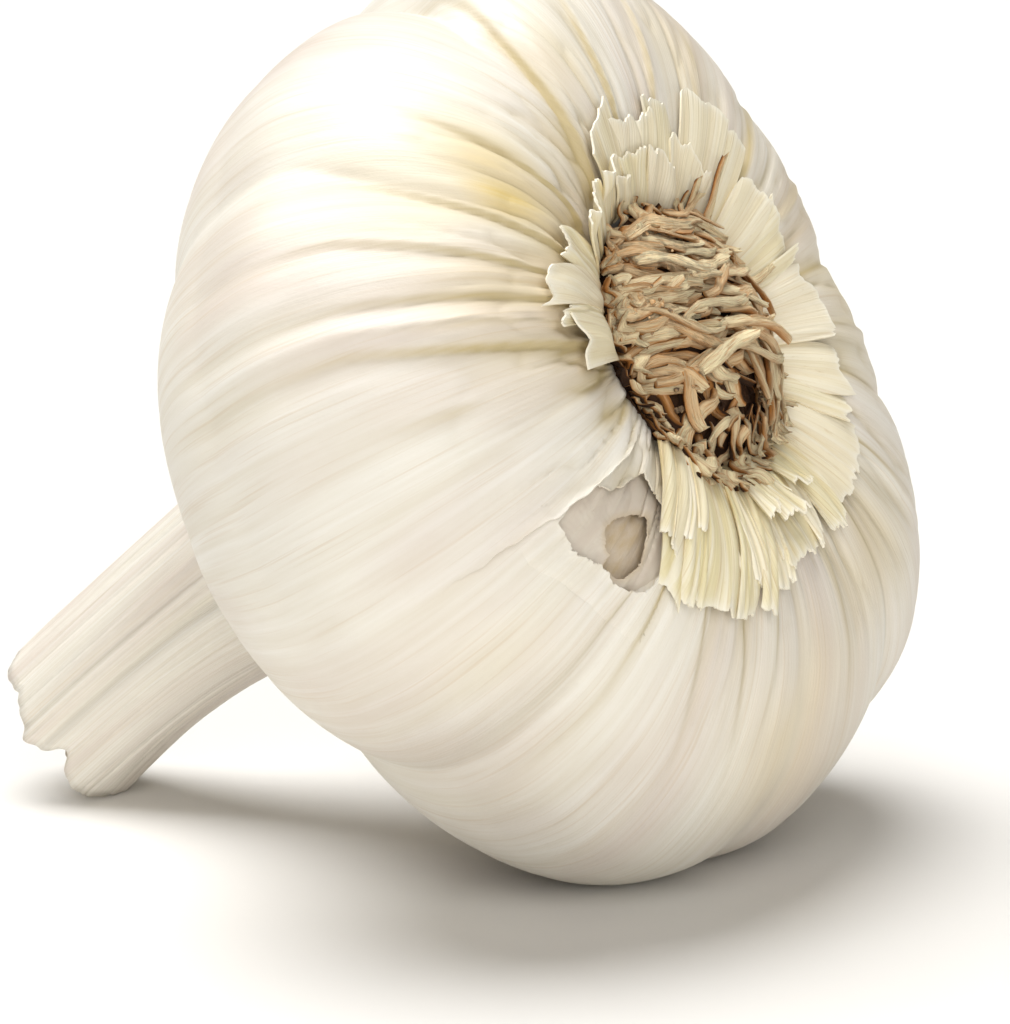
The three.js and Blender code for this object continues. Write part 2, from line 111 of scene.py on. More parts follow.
STEM_FROM, STEM_SETTLE = 36, 8
STEM_CREASES = (78, 96, 250)
STEM_CREASE_HALF, STEM_CREASE_DEPTH = 9, 0.5
STEM_FLATTEN, STEM_FLATTEN_ANGLE = 0.06, 120
STEM_BEND, STEM_BEND_FROM, STEM_BEND_OVER, STEM_BEND_POWER = (6.7, 2.8), 30, 31.8, 1.6
STEM_FOOT_FROM, STEM_FOOT_REACH, STEM_FOOT_HALF = 52, 0.7, 55
# run over which the belly's skin turns into the stem's
STEM_RUN = (52, 62)
END_SLANT, END_SLANT_ANGLE = 3.2, 30
END_NOTCH_ANGLE, END_NOTCH_HALF, END_NOTCH_DEPTH = 62, 14, 1.3
# teeth of the stem's end: how many round it, their phase in degrees, half their depth
END_JAGS = ((7, 0, 0.35), (3, 40, 0.3))

# how far the resting bulb's stem points down, and where the growing frame's origin rests
TILT = 25.7
ROOT_AT = np.array([23.8, 2.1, 38.25])

# steps to each side over which directions are taken: along the outline, on the skin, over its folds
OUTLINE_STEP, FINE_STEP, BROAD_STEP = 0.5, 1.2, 8


def smoothstep(x, low, high):
    """Rises softly from 0 at low to 1 at high."""
    t = np.clip((x - low) / (high - low), 0.0, 1.0)
    return t * t * (3 - 2 * t)


def bump(x):
    """A soft bump: 1 in the middle and 0 from one half width away."""
    return np.where(np.abs(x) < 1, (1 - x * x) ** 2, 0.0)


def turn_between(a, b):
    """Difference between two angles in degrees, from -180 to 180."""
    return (a - b + 180) % 360 - 180


def lerp(a, b, share):
    """The value a share of the way from a to b."""
    return a + (b - a) * share


def spline_through(points, t):
    """Points on the smooth curve through a list of points, at shares t of its stretches."""
    last = len(points) - 1
    where = np.clip(t, 0, 1) * last
    i = np.minimum(np.floor(where).astype(int), last - 1)
    w = (where - i)[..., None]
    p0, p1 = points[np.maximum(i - 1, 0)], points[i]
    p2, p3 = points[i + 1], points[np.minimum(i + 2, last)]
    v0, v1 = (p2 - p0) / 2, (p3 - p1) / 2
    return ((2 * p1 - 2 * p2 + v0 + v1) * w**3 + (-3 * p1 + 3 * p2 - 2 * v0 - v1) * w**2
            + v0 * w + p1)


_outline_shares = np.linspace(0, 1, OUTLINE_SAMPLES + 1)
_outline_steps = np.linalg.norm(np.diff(spline_through(OUTLINE, _outline_shares), axis=0), axis=1)
_outline_runs = np.concatenate([[0.0], np.cumsum(_outline_steps)])
RUN_LENGTH = float(_outline_runs[-1])


def outline_at(run):
    """The skin's radius and height at a run."""
    share = np.interp(np.clip(run, 0, RUN_LENGTH), _outline_runs, _outline_shares)
    point = spline_through(OUTLINE, share)
    return point[..., 0], point[..., 1]


def clove_offset(angle, height):
    """How far the cloves stand off the outline at an angle and height."""
    near_root = 1 - smoothstep(height, 0, TURN_HEIGHT)
    offset = np.zeros(np.broadcast(angle, height).shape)
    for k, (groove, floor, swell, turn) in enumerate(CLOVES):
        groove_2, floor_2, _swell, turn_2 = CLOVES[(k + 1) % len(CLOVES)]
        low = groove + turn * near_root
        width = (groove_2 + turn_2 * near_root - low) % 360
        share = ((angle - low) % 360) / width
        arch = 1 - np.abs(2 * share - 1) ** CLOVE_ROUNDNESS
        offset = np.where(share < 1, lerp(floor, floor_2, share) + swell * arch, offset)
    return offset


def past_fold(angle, run, start_angle, belly_angle):
    """How many degrees an angle lies past a fold's middle at a run."""
    middle = lerp(start_angle, belly_angle, np.clip(run / FOLD_SETTLE_RUN, 0, 1))
    return turn_between(angle, middle)


def fold_depth(angle, run, narrow=1.0):
    """How far the folds pull the skin in. A narrow below 1 gives only the sharp line along each."""
    depth = np.zeros(np.broadcast(angle, run).shape)
    for start_angle, belly_angle, start, stop, deep, half in FOLDS:
        fade_in = smoothstep(run, start, start + FOLD_RISE_RUN)
        fade_out = 1 - smoothstep(run, stop - FOLD_FADE_RUN, stop)
        across = past_fold(angle, run, start_angle, belly_angle) / (half * narrow)
        depth = depth + deep * fade_in * fade_out * bump(across)
    at_back = smoothstep(np.abs(turn_between(angle, BACK_ANGLE)), *BACK_REACH)
    eased = FOLD_SCALE - FOLD_EASE * smoothstep(run, *FOLD_EASE_RUN)
    return depth * eased * (1 - BACK_EASE * at_back)


def fold_edges(angle, run):
    """The raised edge along each fold, where one pleat of skin lies over the next."""
    height = np.zeros(np.broadcast(angle, run).shape)
    for start_angle, belly_angle, start, stop, _deep, half in FOLDS:
        fade = smoothstep(run, start - 1, start + 2) * (1 - smoothstep(run, 0.4 * stop, 0.9 * stop))
        across = past_fold(angle, run, start_angle, belly_angle) / half
        step = smoothstep(across, -EDGE_HALF, EDGE_HALF)
        height = height + fade * step * np.exp(-EDGE_FALL * np.maximum(across, 0))
    return height


def tear_share(angle, run):
    """1 on the floor of the torn window, 0 outside it."""
    x = turn_between(angle, TEAR_ANGLE) / TEAR_HALF_ANGLE
    y = (run - TEAR_RUN) / TEAR_HALF_RUN
    return 1 - smoothstep(np.hypot(x, y), TEAR_FLOOR, 1)


def stem_offset(angle, height, radius):
    """How far the stem's creases, flattening and foot change its radius."""
    offset = -STEM_FLATTEN * radius * np.cos(np.radians(2 * (angle - STEM_FLATTEN_ANGLE)))
    for crease in STEM_CREASES:
        offset = offset - STEM_CREASE_DEPTH * bump(turn_between(angle, crease) / STEM_CREASE_HALF)
    foot = smoothstep(height, STEM_FOOT_FROM, OUTLINE[-1][1])
    offset = offset + STEM_FOOT_REACH * foot * bump(turn_between(angle, 0) / STEM_FOOT_HALF)
    return smoothstep(height, STEM_FROM, STEM_FROM + STEM_SETTLE) * offset


def end_run(angle):
    """The run at which the stem's torn end stops at an angle."""
    notch = END_NOTCH_DEPTH * bump(turn_between(angle, END_NOTCH_ANGLE) / END_NOTCH_HALF)
    slant = END_SLANT * 0.5 * (1 + np.cos(np.radians(angle - END_SLANT_ANGLE)))
    run = RUN_LENGTH - notch - slant
    for count, phase, depth in END_JAGS:
        run = run - depth * (1 + np.sin(np.radians(count * angle + phase)))
    return run


def bent(points):
    """Points moved with the bulb's axis, which bends along the stem and leans at the root plate."""
    z = points[..., 2]
    up = (np.maximum(z - STEM_BEND_FROM, 0) / STEM_BEND_OVER) ** STEM_BEND_POWER
    root = np.maximum(1 - z / ROOT_SHIFT_OVER, 0)
    x = points[..., 0] + STEM_BEND[0] * up + ROOT_SHIFT[0] * root
    y = points[..., 1] + STEM_BEND[1] * up + ROOT_SHIFT[1] * root
    return np.stack([x, y, z], axis=-1)


def skin_points(angle, run, relief=0.0):
    """The skin at angles and runs, standing out by a relief, in millimetres, square to the outline."""
    angle, run = np.broadcast_arrays(np.asarray(angle, float), np.asarray(run, float))
    radius, height = outline_at(run)
    low, high = LOBE_FADE_RADIUS
    by_radius = np.clip((radius - low) / (high - low), 0, 1)
    by_height = 1 - smoothstep(height, *LOBE_FADE_HEIGHT)
    lobes = by_radius * by_height * radius * clove_offset(angle, height) / WIDEST
    ahead, behind = outline_at(run + OUTLINE_STEP), outline_at(np.maximum(run - OUTLINE_STEP, 0))
    wider, taller = ahead[0] - behind[0], ahead[1] - behind[1]
    slope = np.maximum(np.hypot(wider, taller), 1e-6)
    r = radius + lobes - fold_depth(angle, run) + stem_offset(angle, height, radius)
    r = r + relief * taller / slope
    a = np.radians(angle)
    return bent(np.stack([r * np.cos(a), r * np.sin(a), height - relief * wider / slope], axis=-1))


def outward(angle, run, step):
    """The outward direction of the plain skin, averaged over a step, in degrees and millimetres."""
    around = skin_points(angle + step, run) - skin_points(angle - step, run)
    along = skin_points(angle, run + step) - skin_points(angle, np.maximum(run - step, 0))
    normal = np.cross(around, along)
    return normal / np.linalg.norm(normal, axis=-1, keepdims=True)


def to_row(points):
    """Points of the growing frame, in millimetres, as points of the resting bulb, in metres."""
    t = np.radians(TILT)
    axes = np.array([[np.sin(t), 0, -np.cos(t)], [0, -1, 0], [-np.cos(t), 0, -np.sin(t)]])
    placed = (points @ axes + ROOT_AT) * MM
    placed[..., 2] = np.maximum(placed[..., 2], 0)
    return placed


# ---------------------------------------------------------------- fine relief

# pleats: how many round the bulb, how far each reaches along the skin, seed
WIDE_PLEATS, NARROW_PLEATS, LONG_PLEATS = (62, 13, 3), (118, 9, 7), (44, 30, 11)
STEM_PLEATS, STEM_FINE_PLEATS, CRIMP_PLEATS = (30, 22, 17), (52, 16, 19), (104, 7, 43)
WIDE_DEPTH, NARROW_DEPTH, LONG_DEPTH, SWELL_DEPTH = 0.45, 0.24, 0.06, 0.12
STEM_DEPTH, STEM_FINE_DEPTH, STEM_SWELL_DEPTH = 0.10, 0.07, 0.10
FOLD_LINE_DEPTH, FOLD_EDGE_HEIGHT, CRIMP_DEPTH = 0.22, 0.45, 0.38
PLEAT_SHARPNESS, CRIMP_SHARPNESS = 6, 4
PLEAT_WANDER = 3.0
# runs over which the pleats by the roots fade, and over which pleats start at the root rim
PLEATS_FADE_RUN, RIM_RUN = (6, 26), (0, 3)
# the front, where the wide pleats are shallower, and its tight gathers by the roots
CALM_ANGLE, CALM_HALF, CALM_SHARE = 74, 30, 0.3
CRIMP_ANGLE, CRIMP_HALF, CRIMP_START_RUN, CRIMP_FADE_RUN = 82, 26, (0, 1.5), (5, 13)
# the most that wrinkles stand out by the roots, what is added beyond, and the run over which it is
RELIEF_LIMIT, RELIEF_LIMIT_GAIN, RELIEF_LIMIT_RUN = 0.05, 0.5, (7, 13)


def lattice_noise(across, along, cells, seed):
    """Smooth noise from -1 to 1 on a grid of cells, which repeats past its edges."""
    table = np.random.default_rng(seed).uniform(-1, 1, cells)
    i, j = np.floor(across).astype(int), np.floor(along).astype(int)
    u, v = smoothstep(across - i, 0, 1), smoothstep(along - j, 0, 1)
    i, i_2, j, j_2 = i % cells[0], (i + 1) % cells[0], j % cells[1], (j + 1) % cells[1]
    return lerp(lerp(table[i, j], table[i_2, j], u), lerp(table[i, j_2], table[i_2, j_2], u), v)


def around_noise(angle, run, count, reach, seed):
    """Noise with count cells round the bulb, each cell reaching so many millimetres of run."""
    rows = int(RUN_LENGTH / reach) + 3
    return lattice_noise((np.asarray(angle) % 360) / 360 * count, run / reach, (count, rows), seed)


def line_noise(along, count, seed):
    """Smooth noise from -1 to 1 along a line of cells."""
    return lattice_noise(along, along * 0, (count, 2), seed)


def pleats(angle, run, count, reach, seed, sharpness=PLEAT_SHARPNESS):
    """Rounded pleats with sharp valleys, from -1 in the valleys to 0 on top."""
    wander = PLEAT_WANDER * around_noise(angle, run, 24, 14, seed + 1)
    noise = around_noise(angle + wander, run, count, reach, seed)
    return -((1 - np.abs(noise)) ** sharpness)


def crimps(angle, run):
    """Tight gathers of the skin in front of the roots, from -1 in their valleys to 0 outside them."""
    near = bump(turn_between(angle, CRIMP_ANGLE) / CRIMP_HALF)
    near = near * (1 - smoothstep(run, *CRIMP_FADE_RUN)) * smoothstep(run, *CRIMP_START_RUN)
    return near * pleats(angle, run, *CRIMP_PLEATS, CRIMP_SHARPNESS)


def skin_relief(angle, run, depth):
    """Fine wrinkles of the papery skin, in millimetres: pleats by the roots, long soft folds beyond."""
    by_root = 1 - smoothstep(run, *PLEATS_FADE_RUN)
    by_rim = smoothstep(run, *RIM_RUN)
    on_stem = smoothstep(run, *STEM_RUN)
    calm = 1 - CALM_SHARE * bump(turn_between(angle, CALM_ANGLE) / CALM_HALF)
    relief = WIDE_DEPTH * by_root * by_rim * calm * pleats(angle, run, *WIDE_PLEATS)
    relief = relief + NARROW_DEPTH * by_root * by_rim * pleats(angle, run, *NARROW_PLEATS)
    relief = relief + LONG_DEPTH * (1 - on_stem) * by_rim * pleats(angle, run, *LONG_PLEATS)
    relief = relief + SWELL_DEPTH * around_noise(angle, run, 26, 17, 13)
    relief = relief + CRIMP_DEPTH * crimps(angle, run)
    relief = relief - FOLD_LINE_DEPTH * fold_depth(angle, run, FOLD_LINE)
    relief = relief + FOLD_EDGE_HEIGHT * fold_edges(angle, run)
    relief = np.minimum(relief, RELIEF_LIMIT + RELIEF_LIMIT_GAIN * smoothstep(run, *RELIEF_LIMIT_RUN))
    stem = STEM_DEPTH * pleats(angle, run, *STEM_PLEATS)
    stem = stem + STEM_FINE_DEPTH * pleats(angle, run, *STEM_FINE_PLEATS)
    swell = STEM_SWELL_DEPTH * on_stem * around_noise(angle, run, 14, 9, 23)
    return depth * (relief * (1 - on_stem) + stem * on_stem + swell)


# ---------------------------------------------------------------- making meshes

# edges flatter than this many degrees are shaded smooth: skin by the window, torn strips, roots
SKIN_SMOOTH, STRIP_SMOOTH, ROOT_SMOOTH = 40, 50, 60


def deselect_all():
    """Leaves edit mode and clears the selection."""
    if bpy.context.object is not None and bpy.context.object.mode != "OBJECT":
        bpy.ops.object.mode_set(mode="OBJECT")
    bpy.ops.object.select_all(action="DESELECT")


def choose(piece):
    """Makes a piece the only selected one and the active one."""
    deselect_all()
    piece.select_set(True)
    bpy.context.view_layer.objects.active = piece


def name_piece(piece, name):
    """Names a piece and its mesh alike."""
    piece.name = name
    piece.data.name = name
    return piece


def vertices_of(piece):
    """A piece's vertices, a row each."""
    flat = np.zeros(len(piece.data.vertices) * 3)
    piece.data.vertices.foreach_get("co", flat)
    return flat.reshape(-1, 3)


def move_vertices(piece, points):
    """Moves a piece's vertices to points, in metres."""
    piece.data.vertices.foreach_set("co", points.astype(np.float32).ravel())


def set_values(piece, values):
    """Stores values on a piece's vertices: a number or a row of three for each."""
    for label, numbers in values.items():
        numbers = np.asarray(numbers, np.float32)
        kind, field = ("FLOAT_VECTOR", "vector") if numbers.ndim == 2 else ("FLOAT", "value")
        layer = piece.data.attributes.new(label, kind, "POINT")
        layer.data.foreach_set(field, numbers.ravel())


def grid_sheet(name, points, values=None):
    """A grid primitive laid on points [row][column], in metres, with values stored on its vertices."""
    rows, columns = points.shape[:2]
    deselect_all()
    bpy.ops.mesh.primitive_grid_add(x_subdivisions=columns - 1, y_subdivisions=rows - 1, size=2)
    piece = name_piece(bpy.context.object, name)
    flat = vertices_of(piece)
    if len(flat) != rows * columns:
        raise RuntimeError(f"{name}: the grid has {len(flat)} points, not {rows * columns}")
    i = np.rint((flat[:, 0] + 1) / 2 * (columns - 1)).astype(int)
    j = np.rint((flat[:, 1] + 1) / 2 * (rows - 1)).astype(int)
    move_vertices(piece, points[j, i])
    for label, numbers in (values or {}).items():
        everywhere = np.broadcast_to(numbers, (rows, columns) + numbers.shape[2:])
        set_values(piece, {label: everywhere[j, i]})
    piece.data.update()
    return piece


def close_seams(piece):
    """Merges the grid's meeting edges and collapsed ends, and turns every face outwards."""
    choose(piece)
    bpy.ops.object.mode_set(mode="EDIT")
    bpy.ops.mesh.select_all(action="SELECT")
    bpy.ops.mesh.remove_doubles(threshold=1e-6)
    bpy.ops.mesh.normals_make_consistent(inside=False)
    bpy.ops.object.mode_set(mode="OBJECT")
    return piece


def thicken(piece, thickness):
    """Gives a sheet a wall of a thickness in metres, half to each side."""
    choose(piece)
    wall = piece.modifiers.new("Wall", "SOLIDIFY")
    wall.thickness = thickness
    wall.offset = 0.0
    wall.use_even_offset = False
    bpy.ops.object.modifier_apply(modifier=wall.name)
    return piece


def smooth(piece, degrees=None):
    """Shades a piece smooth, all over or only across edges flatter than an angle."""
    choose(piece)
    if degrees is None:
        bpy.ops.object.shade_smooth()
    else:
        bpy.ops.object.shade_smooth_by_angle(angle=float(np.radians(degrees)))
    return piece


def join(pieces, name):
    """Joins pieces in one."""
    deselect_all()
    for piece in pieces:
        piece.select_set(True)
    bpy.context.view_layer.objects.active = pieces[0]
    bpy.ops.object.join()
    return name_piece(bpy.context.object, name)


def dress(piece, material, slot, *nodes):
    """Gives a piece its material and its place in the frame."""
    piece.data.materials.clear()
    piece.data.materials.append(material)
    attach(piece, BODY)
    if nodes:
        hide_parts(*nodes)
    return piece


def grain_of(angle, run):
    """Coordinates that run with the skin's fibres, in millimetres, with no seam round the bulb."""
    a = np.radians(angle)
    return np.stack([WIDEST * np.cos(a), WIDEST * np.sin(a), run * np.ones_like(a)], axis=-1)


# ---------------------------------------------------------------- materials

NOISE_ROUGHNESS = 0.55


def linear(red, green, blue):
    """A screen colour from 0 to 255 as the linear values that shaders take."""
    shares = np.array([red, green, blue]) / 255
    return tuple(np.where(shares <= 0.04045, shares / 12.92, ((shares + 0.055) / 1.055) ** 2.4))


class Graph:
    """A material's node tree, with short calls to add and join nodes."""

    def __init__(self, name):
        self.material = bpy.data.materials.new(name)
        self.material.use_nodes = True
        self.tree = self.material.node_tree
        self.shader = self.tree.nodes["Principled BSDF"]

    def feed(self, socket, value):
        """Gives an input a plain value or another node's output."""
        if isinstance(value, bpy.types.NodeSocket):
            self.tree.links.new(value, socket)
        else:
            socket.default_value = value

    def add(self, kind, settings=None, **inputs):
        """A node with its settings and the values or links of its inputs."""
        node = self.tree.nodes.new(kind)
        for key, value in (settings or {}).items():
            setattr(node, key, value)
        for key, value in inputs.items():
            self.feed(node.inputs[key.replace("_", " ")], value)
        return node

    def stored(self, label, output="Fac"):
        """A value stored on the mesh."""
        return self.add("ShaderNodeAttribute", {"attribute_name": label}).outputs[output]

    def noise(self, vector, stretch, detail=3.0, shift=(0, 0, 0)):
        """Noise along a vector that is stretched by three factors first."""
        mapping = self.add("ShaderNodeMapping", Vector=vector, Scale=stretch, Location=shift)
        noise = self.add("ShaderNodeTexNoise", Vector=mapping.outputs["Vector"], Scale=1.0,
                         Detail=detail, Roughness=NOISE_ROUGHNESS)
        return noise.outputs["Fac"]

    def remap(self, value, low, high, to_low=0.0, to_high=1.0):
        """A value moved from one range to another, kept inside it."""
        node = self.add("ShaderNodeMapRange", Value=value, From_Min=low, From_Max=high,
                        To_Min=to_low, To_Max=to_high)
        return node.outputs["Result"]

    def math(self, operation, first, second):
        """Two values put together by an operation."""
        node = self.add("ShaderNodeMath", {"operation": operation})
        self.feed(node.inputs[0], first)
        self.feed(node.inputs[1], second)
        return node.outputs[0]

    def times(self, first, second):
        """Two values multiplied."""
        return self.math("MULTIPLY", first, second)

    def mix(self, factor, first, second):
        """Two colours mixed by a factor. Inputs 6 and 7 and output 2 are the node's colour ones."""
        node = self.add("ShaderNodeMix", {"data_type": "RGBA"})
        self.feed(node.inputs[0], factor)
        for index, colour in ((6, first), (7, second)):
            linked = isinstance(colour, bpy.types.NodeSocket)
            self.feed(node.inputs[index], colour if linked else (*colour, 1.0))
        return node.outputs[2]

    def bump(self, height, distance, strength):
        """A bump of a height in metres."""
        node = self.add("ShaderNodeBump", Height=height, Distance=distance, Strength=strength)
        return node.outputs["Normal"]

    def finish(self, colour, roughness, normal=None, **constants):
        """Joins the shader's colour, roughness and normal, and sets its constants."""
        self.feed(self.shader.inputs["Base Color"], colour)
        self.feed(self.shader.inputs["Roughness"], roughness)
        if normal is not None:
            self.feed(self.shader.inputs["Normal"], normal)
        for key, value in constants.items():
            self.shader.inputs[key.replace("_", " ")].default_value = value
        return self.material


def skin_material(name, settings):
    """Papery garlic skin: fibres along the bulb, soft stains and blush, with painted shade in the
    creases from the mesh.
    """
    graph = Graph(name)
    grain = graph.stored("Grain", "Vector")
    fibres = graph.noise(grain, (1.1, 1.1, 0.045), detail=4.0)
    veins = graph.noise(grain, (3.4, 3.4, 0.06), shift=(7, 3, 1))
    patches = graph.noise(grain, (0.11, 0.11, 0.035), detail=2.0, shift=(3, 9, 4))
    clouds = graph.noise(grain, (0.24, 0.24, 0.10), shift=(11, 2, 6))
    paper = graph.noise(grain, (5.0, 5.0, 2.6), detail=4.0, shift=(2, 5, 8))
    clove_mottle = graph.noise(grain, (0.9, 0.9, 0.6), detail=4.0, shift=(5, 1, 3))
    colour = graph.mix(graph.remap(fibres, 0.32, 0.68), settings.skin, settings.skin_pale)
    colour = graph.mix(graph.remap(patches, 0.42, 0.66, 0.0, 0.6), colour, settings.blush)
    colour = graph.mix(graph.remap(clouds, 0.5, 0.8, 0.0, 0.4), colour, settings.skin_pale)
    colour = graph.mix(graph.remap(veins, 0.55, 0.7, 0.0, 0.4), colour, settings.vein)
    stain = graph.times(graph.stored("Stain"), graph.remap(fibres, 0.2, 0.7, 0.55, 1.0))
    colour = graph.mix(stain, colour, settings.stain)
    # painted shade: folds, fold edges, gathers and wrinkle valleys darkened towards olive straw
    colour = graph.mix(graph.stored("CreaseShade"), colour, settings.crease)
    clove = graph.mix(graph.remap(clove_mottle, 0.35, 0.7, 0.0, 0.8), settings.clove, settings.inner)
    colour = graph.mix(graph.stored("Bare"), colour, clove)
    height = graph.math("ADD", graph.times(veins, 0.6), graph.times(paper, 0.35))
    normal = graph.bump(height, 0.00009, 0.6)
    roughness = graph.remap(clouds, 0.3, 0.7, 0.40, 0.56)
    return graph.finish(colour, roughness, normal, Specular_IOR_Level=0.42)


# ---------------------------------------------------------------- settings

def colour_property(name, description, red, green, blue):
    """A colour with its default given as screen values."""
    return FloatVectorProperty(name=name, description=description, subtype="COLOR", size=3, min=0.0,
                               max=1.0, default=linear(red, green, blue))


class GarlicSkinSettings(bpy.types.PropertyGroup):
    """Sizes and colours of the papery skin."""

    wrinkles: FloatProperty(name="Wrinkles", description="Depth of the fine wrinkles, as a share",
                            default=1.0, min=0.0, max=2.0, subtype="FACTOR")
    tear_depth: FloatProperty(name="Tear Depth", description="Depth of the torn window's floor",
                              default=0.0011, min=0.0, max=0.002, unit="LENGTH")
    skin: colour_property("Skin", "Cream of the outer skin", 223, 216, 200)
    skin_pale: colour_property("Pale Skin", "White of the driest skin", 234, 230, 220)
    blush: colour_property("Blush", "Faint lilac of the thin skin", 213, 199, 188)
    vein: colour_property("Vein", "Veins along the skin", 209, 191, 165)
    stain: colour_property("Stain", "Ochre stain by the roots", 219, 192, 114)
    # painted shade: the olive straw that the creases are darkened towards
    crease: colour_property("CreaseShade", "Olive straw in the creases", 193, 176, 134)
    inner: colour_property("Inner Skin", "Pinkish grey of the thin inner skin", 209, 196, 180)
    clove: colour_property("Clove", "Brown skin of the clove in the hole", 197, 177, 145)


class GarlicFlapSettings(bpy.types.PropertyGroup):
    """Sizes and colours of the torn skin round the roots."""

    thickness: FloatProperty(name="Thickness", description="Thickness of the torn skin",
                             default=0.00016, min=0.00005, max=0.0006, unit="LENGTH")
    flap: colour_property("Flap", "Straw of the torn skin", 221, 209, 163)
    rim: colour_property("Rim", "White of the torn edges", 240, 235, 220)
    pink: colour_property("Thin Skin", "Pinkish white of the thin torn skin", 236, 226, 203)
    # the ochre of the streaks, also the colour of the painted shade between the pleats and at the
    # strips' feet
    shade: colour_property("Shade", "Ochre between the pleats", 191, 160, 98)


class GarlicRootSettings(bpy.types.PropertyGroup):
    """Sizes and colours of the dried roots."""

    strands: IntProperty(name="Strands", description="Number of dried roots", default=260,
                         min=20, max=500)
    width: FloatProperty(name="Width", description="Width of a dried root", default=0.001, min=0.0004,
                         max=0.002, unit="LENGTH")
    straw: colour_property("Straw", "Lightest roots", 255, 238, 194)
    # brown: the darkest roots, also the first step of the painted shade on lower strands
    brown: colour_property("Brown", "Darkest roots", 212, 138, 62)
    soil: colour_property("Soil", "Grey dirt between the roots", 122, 102, 80)
    # painted shade: the near black of the gaps between the roots and of the plate under them
    gap_shade: colour_property("Hollow", "Dark plate under the roots", 44, 24, 10)


class GarlicStageSettings(bpy.types.PropertyGroup):
    """The camera, lights and floor."""

    azimuth: FloatProperty(name="Azimuth", description="Camera's bearing", default=30.0)
    elevation: FloatProperty(name="Elevation", description="Camera's height angle", default=12.4)
    distance: FloatProperty(name="Distance", description="Camera's distance", default=0.506,
                            unit="LENGTH")
    lens: FloatProperty(name="Lens", description="Focal length in millimetres", default=250.0)
    overhead: FloatProperty(name="Overhead Light", description="Strength of the soft light above",
                            default=4.1)
    front: FloatProperty(name="Front Light", description="Strength of the soft light in front",
                         default=1.85)
    fill: FloatProperty(name="Fill", description="Strength of the pale surroundings", default=0.1)
    surroundings: colour_property("Surroundings", "Warm white of the surroundings", 255, 246, 232)
    floor: colour_property("Floor", "Colour of the floor", 228, 226, 222)


# ---------------------------------------------------------------- the bulb

# the side that shows the torn skin has its columns closer together
BULB_DENSE_SECTOR = (20, 215)
BULB_DENSE_STEP, BULB_WIDE_STEP = 0.66, 1.15
BULB_ROOT_ROWS, BULB_BELLY_ROWS, BULB_STEM_ROWS = 100, 66, 40
ROOT_ROWS_TO, BELLY_ROWS_TO = 30, 62
# rings of the dish under the roots: share of the rim's radius, height
DISH_RINGS = [(0.0, 2.2), (0.5, 2.2), (0.93, 2.1), (0.975, 1.8)]
# rings of the dry layers in the stem's end: share of its rim's radius, depth below the rim
END_RINGS = [
    (0.95, -0.05), (0.90, 0.15), (0.86, 1.5), (0.80, 1.8), (0.76, 1.7), (0.74, 0.5), (0.68, 0.4),
    (0.64, 1.6), (0.54, 1.9), (0.5, 0.9), (0.42, 0.8), (0.36, 2.1), (0.2, 2.3), (0.0, 2.3),
]
# least height over the floor: this for the second of these rings, twice this for the third, and so on
END_CLEARANCE = 0.12
END_FRAY = 0.35
# painted shade over the sunken dry layers in the stem's end
END_SHADE = 0.45

# stains on the skin: angle, run, half width in degrees, half length along the run, strength
STAINS = [
    (128, 12, 14, 10, 1.0), (134, 15, 12, 10, 0.9), (119, 9, 13, 8, 0.85), (125, 19, 16, 13, 0.45),
    (152, 8, 14, 6, 0.50), (106, 8, 16, 6, 0.45), (112, 12, 24, 12, 0.35), (94, 10, 18, 10, 0.30),
    (90, 6, 12, 5, 0.50), (172, 12, 16, 8, 0.30), (60, 26, 12, 9, 0.10), (2, 20, 26, 13, 0.40),
    (330, 12, 24, 8, 0.35), (215, 12, 26, 8, 0.25), (270, 14, 30, 9, 0.25),
]
# runs over which the painted shade in the creases eases from its strength by the roots
CREASE_SHADE_FADE_RUN = (4, 34)


def bulb_angles():
    """Angles of the mesh's columns, once round the bulb."""
    low, high = BULB_DENSE_SECTOR
    dense = np.linspace(low, high, int((high - low) / BULB_DENSE_STEP) + 1)
    wide = np.linspace(high, low + 360, int((low + 360 - high) / BULB_WIDE_STEP) + 1)
    return np.concatenate([dense, wide[1:]])


def stain_share(angle, run):
    """How strongly the skin is stained ochre."""
    share = np.zeros(np.broadcast(angle, run).shape)
    for middle, at, half, reach, strength in STAINS:
        away = np.hypot(turn_between(angle, middle) / half, (run - at) / reach)
        share = np.maximum(share, strength * (1 - smoothstep(away, 0.0, 1.0)))
    rough = 0.75 + 0.5 * around_noise(angle, run, 40, 7, 31)
    return np.clip(share * rough, 0, 1)


def crease_shade_share(angle, run, relief):
    """How much painted shade the skin gets: in its folds, along the lines and raised edges of the
    folds, in the gathers by the roots and in the valleys of its fine wrinkles.
    """
    folds = np.clip(0.55 * fold_depth(angle, run, 0.8), 0, 0.6)
    lines = np.clip(0.9 * fold_depth(angle, run, FOLD_LINE), 0, 0.8)
    edges = fold_edges(angle + 0.3, run) - fold_edges(angle - 0.6, run)
    # a painted shadow line just below each fold's raised edge
    lines = lines + np.clip(0.7 * edges, 0, 0.6)
    lines = lines - 0.8 * crimps(angle, run)
    # painted shade in the valleys of the fine wrinkles
    fine = np.clip(-relief * 1.4, 0, 0.6)
    by_root = 1 - smoothstep(run, *CREASE_SHADE_FADE_RUN)
    on_stem = smoothstep(run, *STEM_RUN)
    deep = (folds + lines) * (0.25 + 0.75 * by_root)
    return np.clip(deep + fine * (0.2 + 0.8 * by_root) * (1 - 0.6 * on_stem), 0, 1)


def skin_values(angle, run, relief):
    """The values that the skin's material reads."""
    angle, run = np.broadcast_arrays(angle, run)
    return {"Grain": grain_of(angle, run), "Stain": stain_share(angle, run),
            "CreaseShade": crease_shade_share(angle, run, relief)}


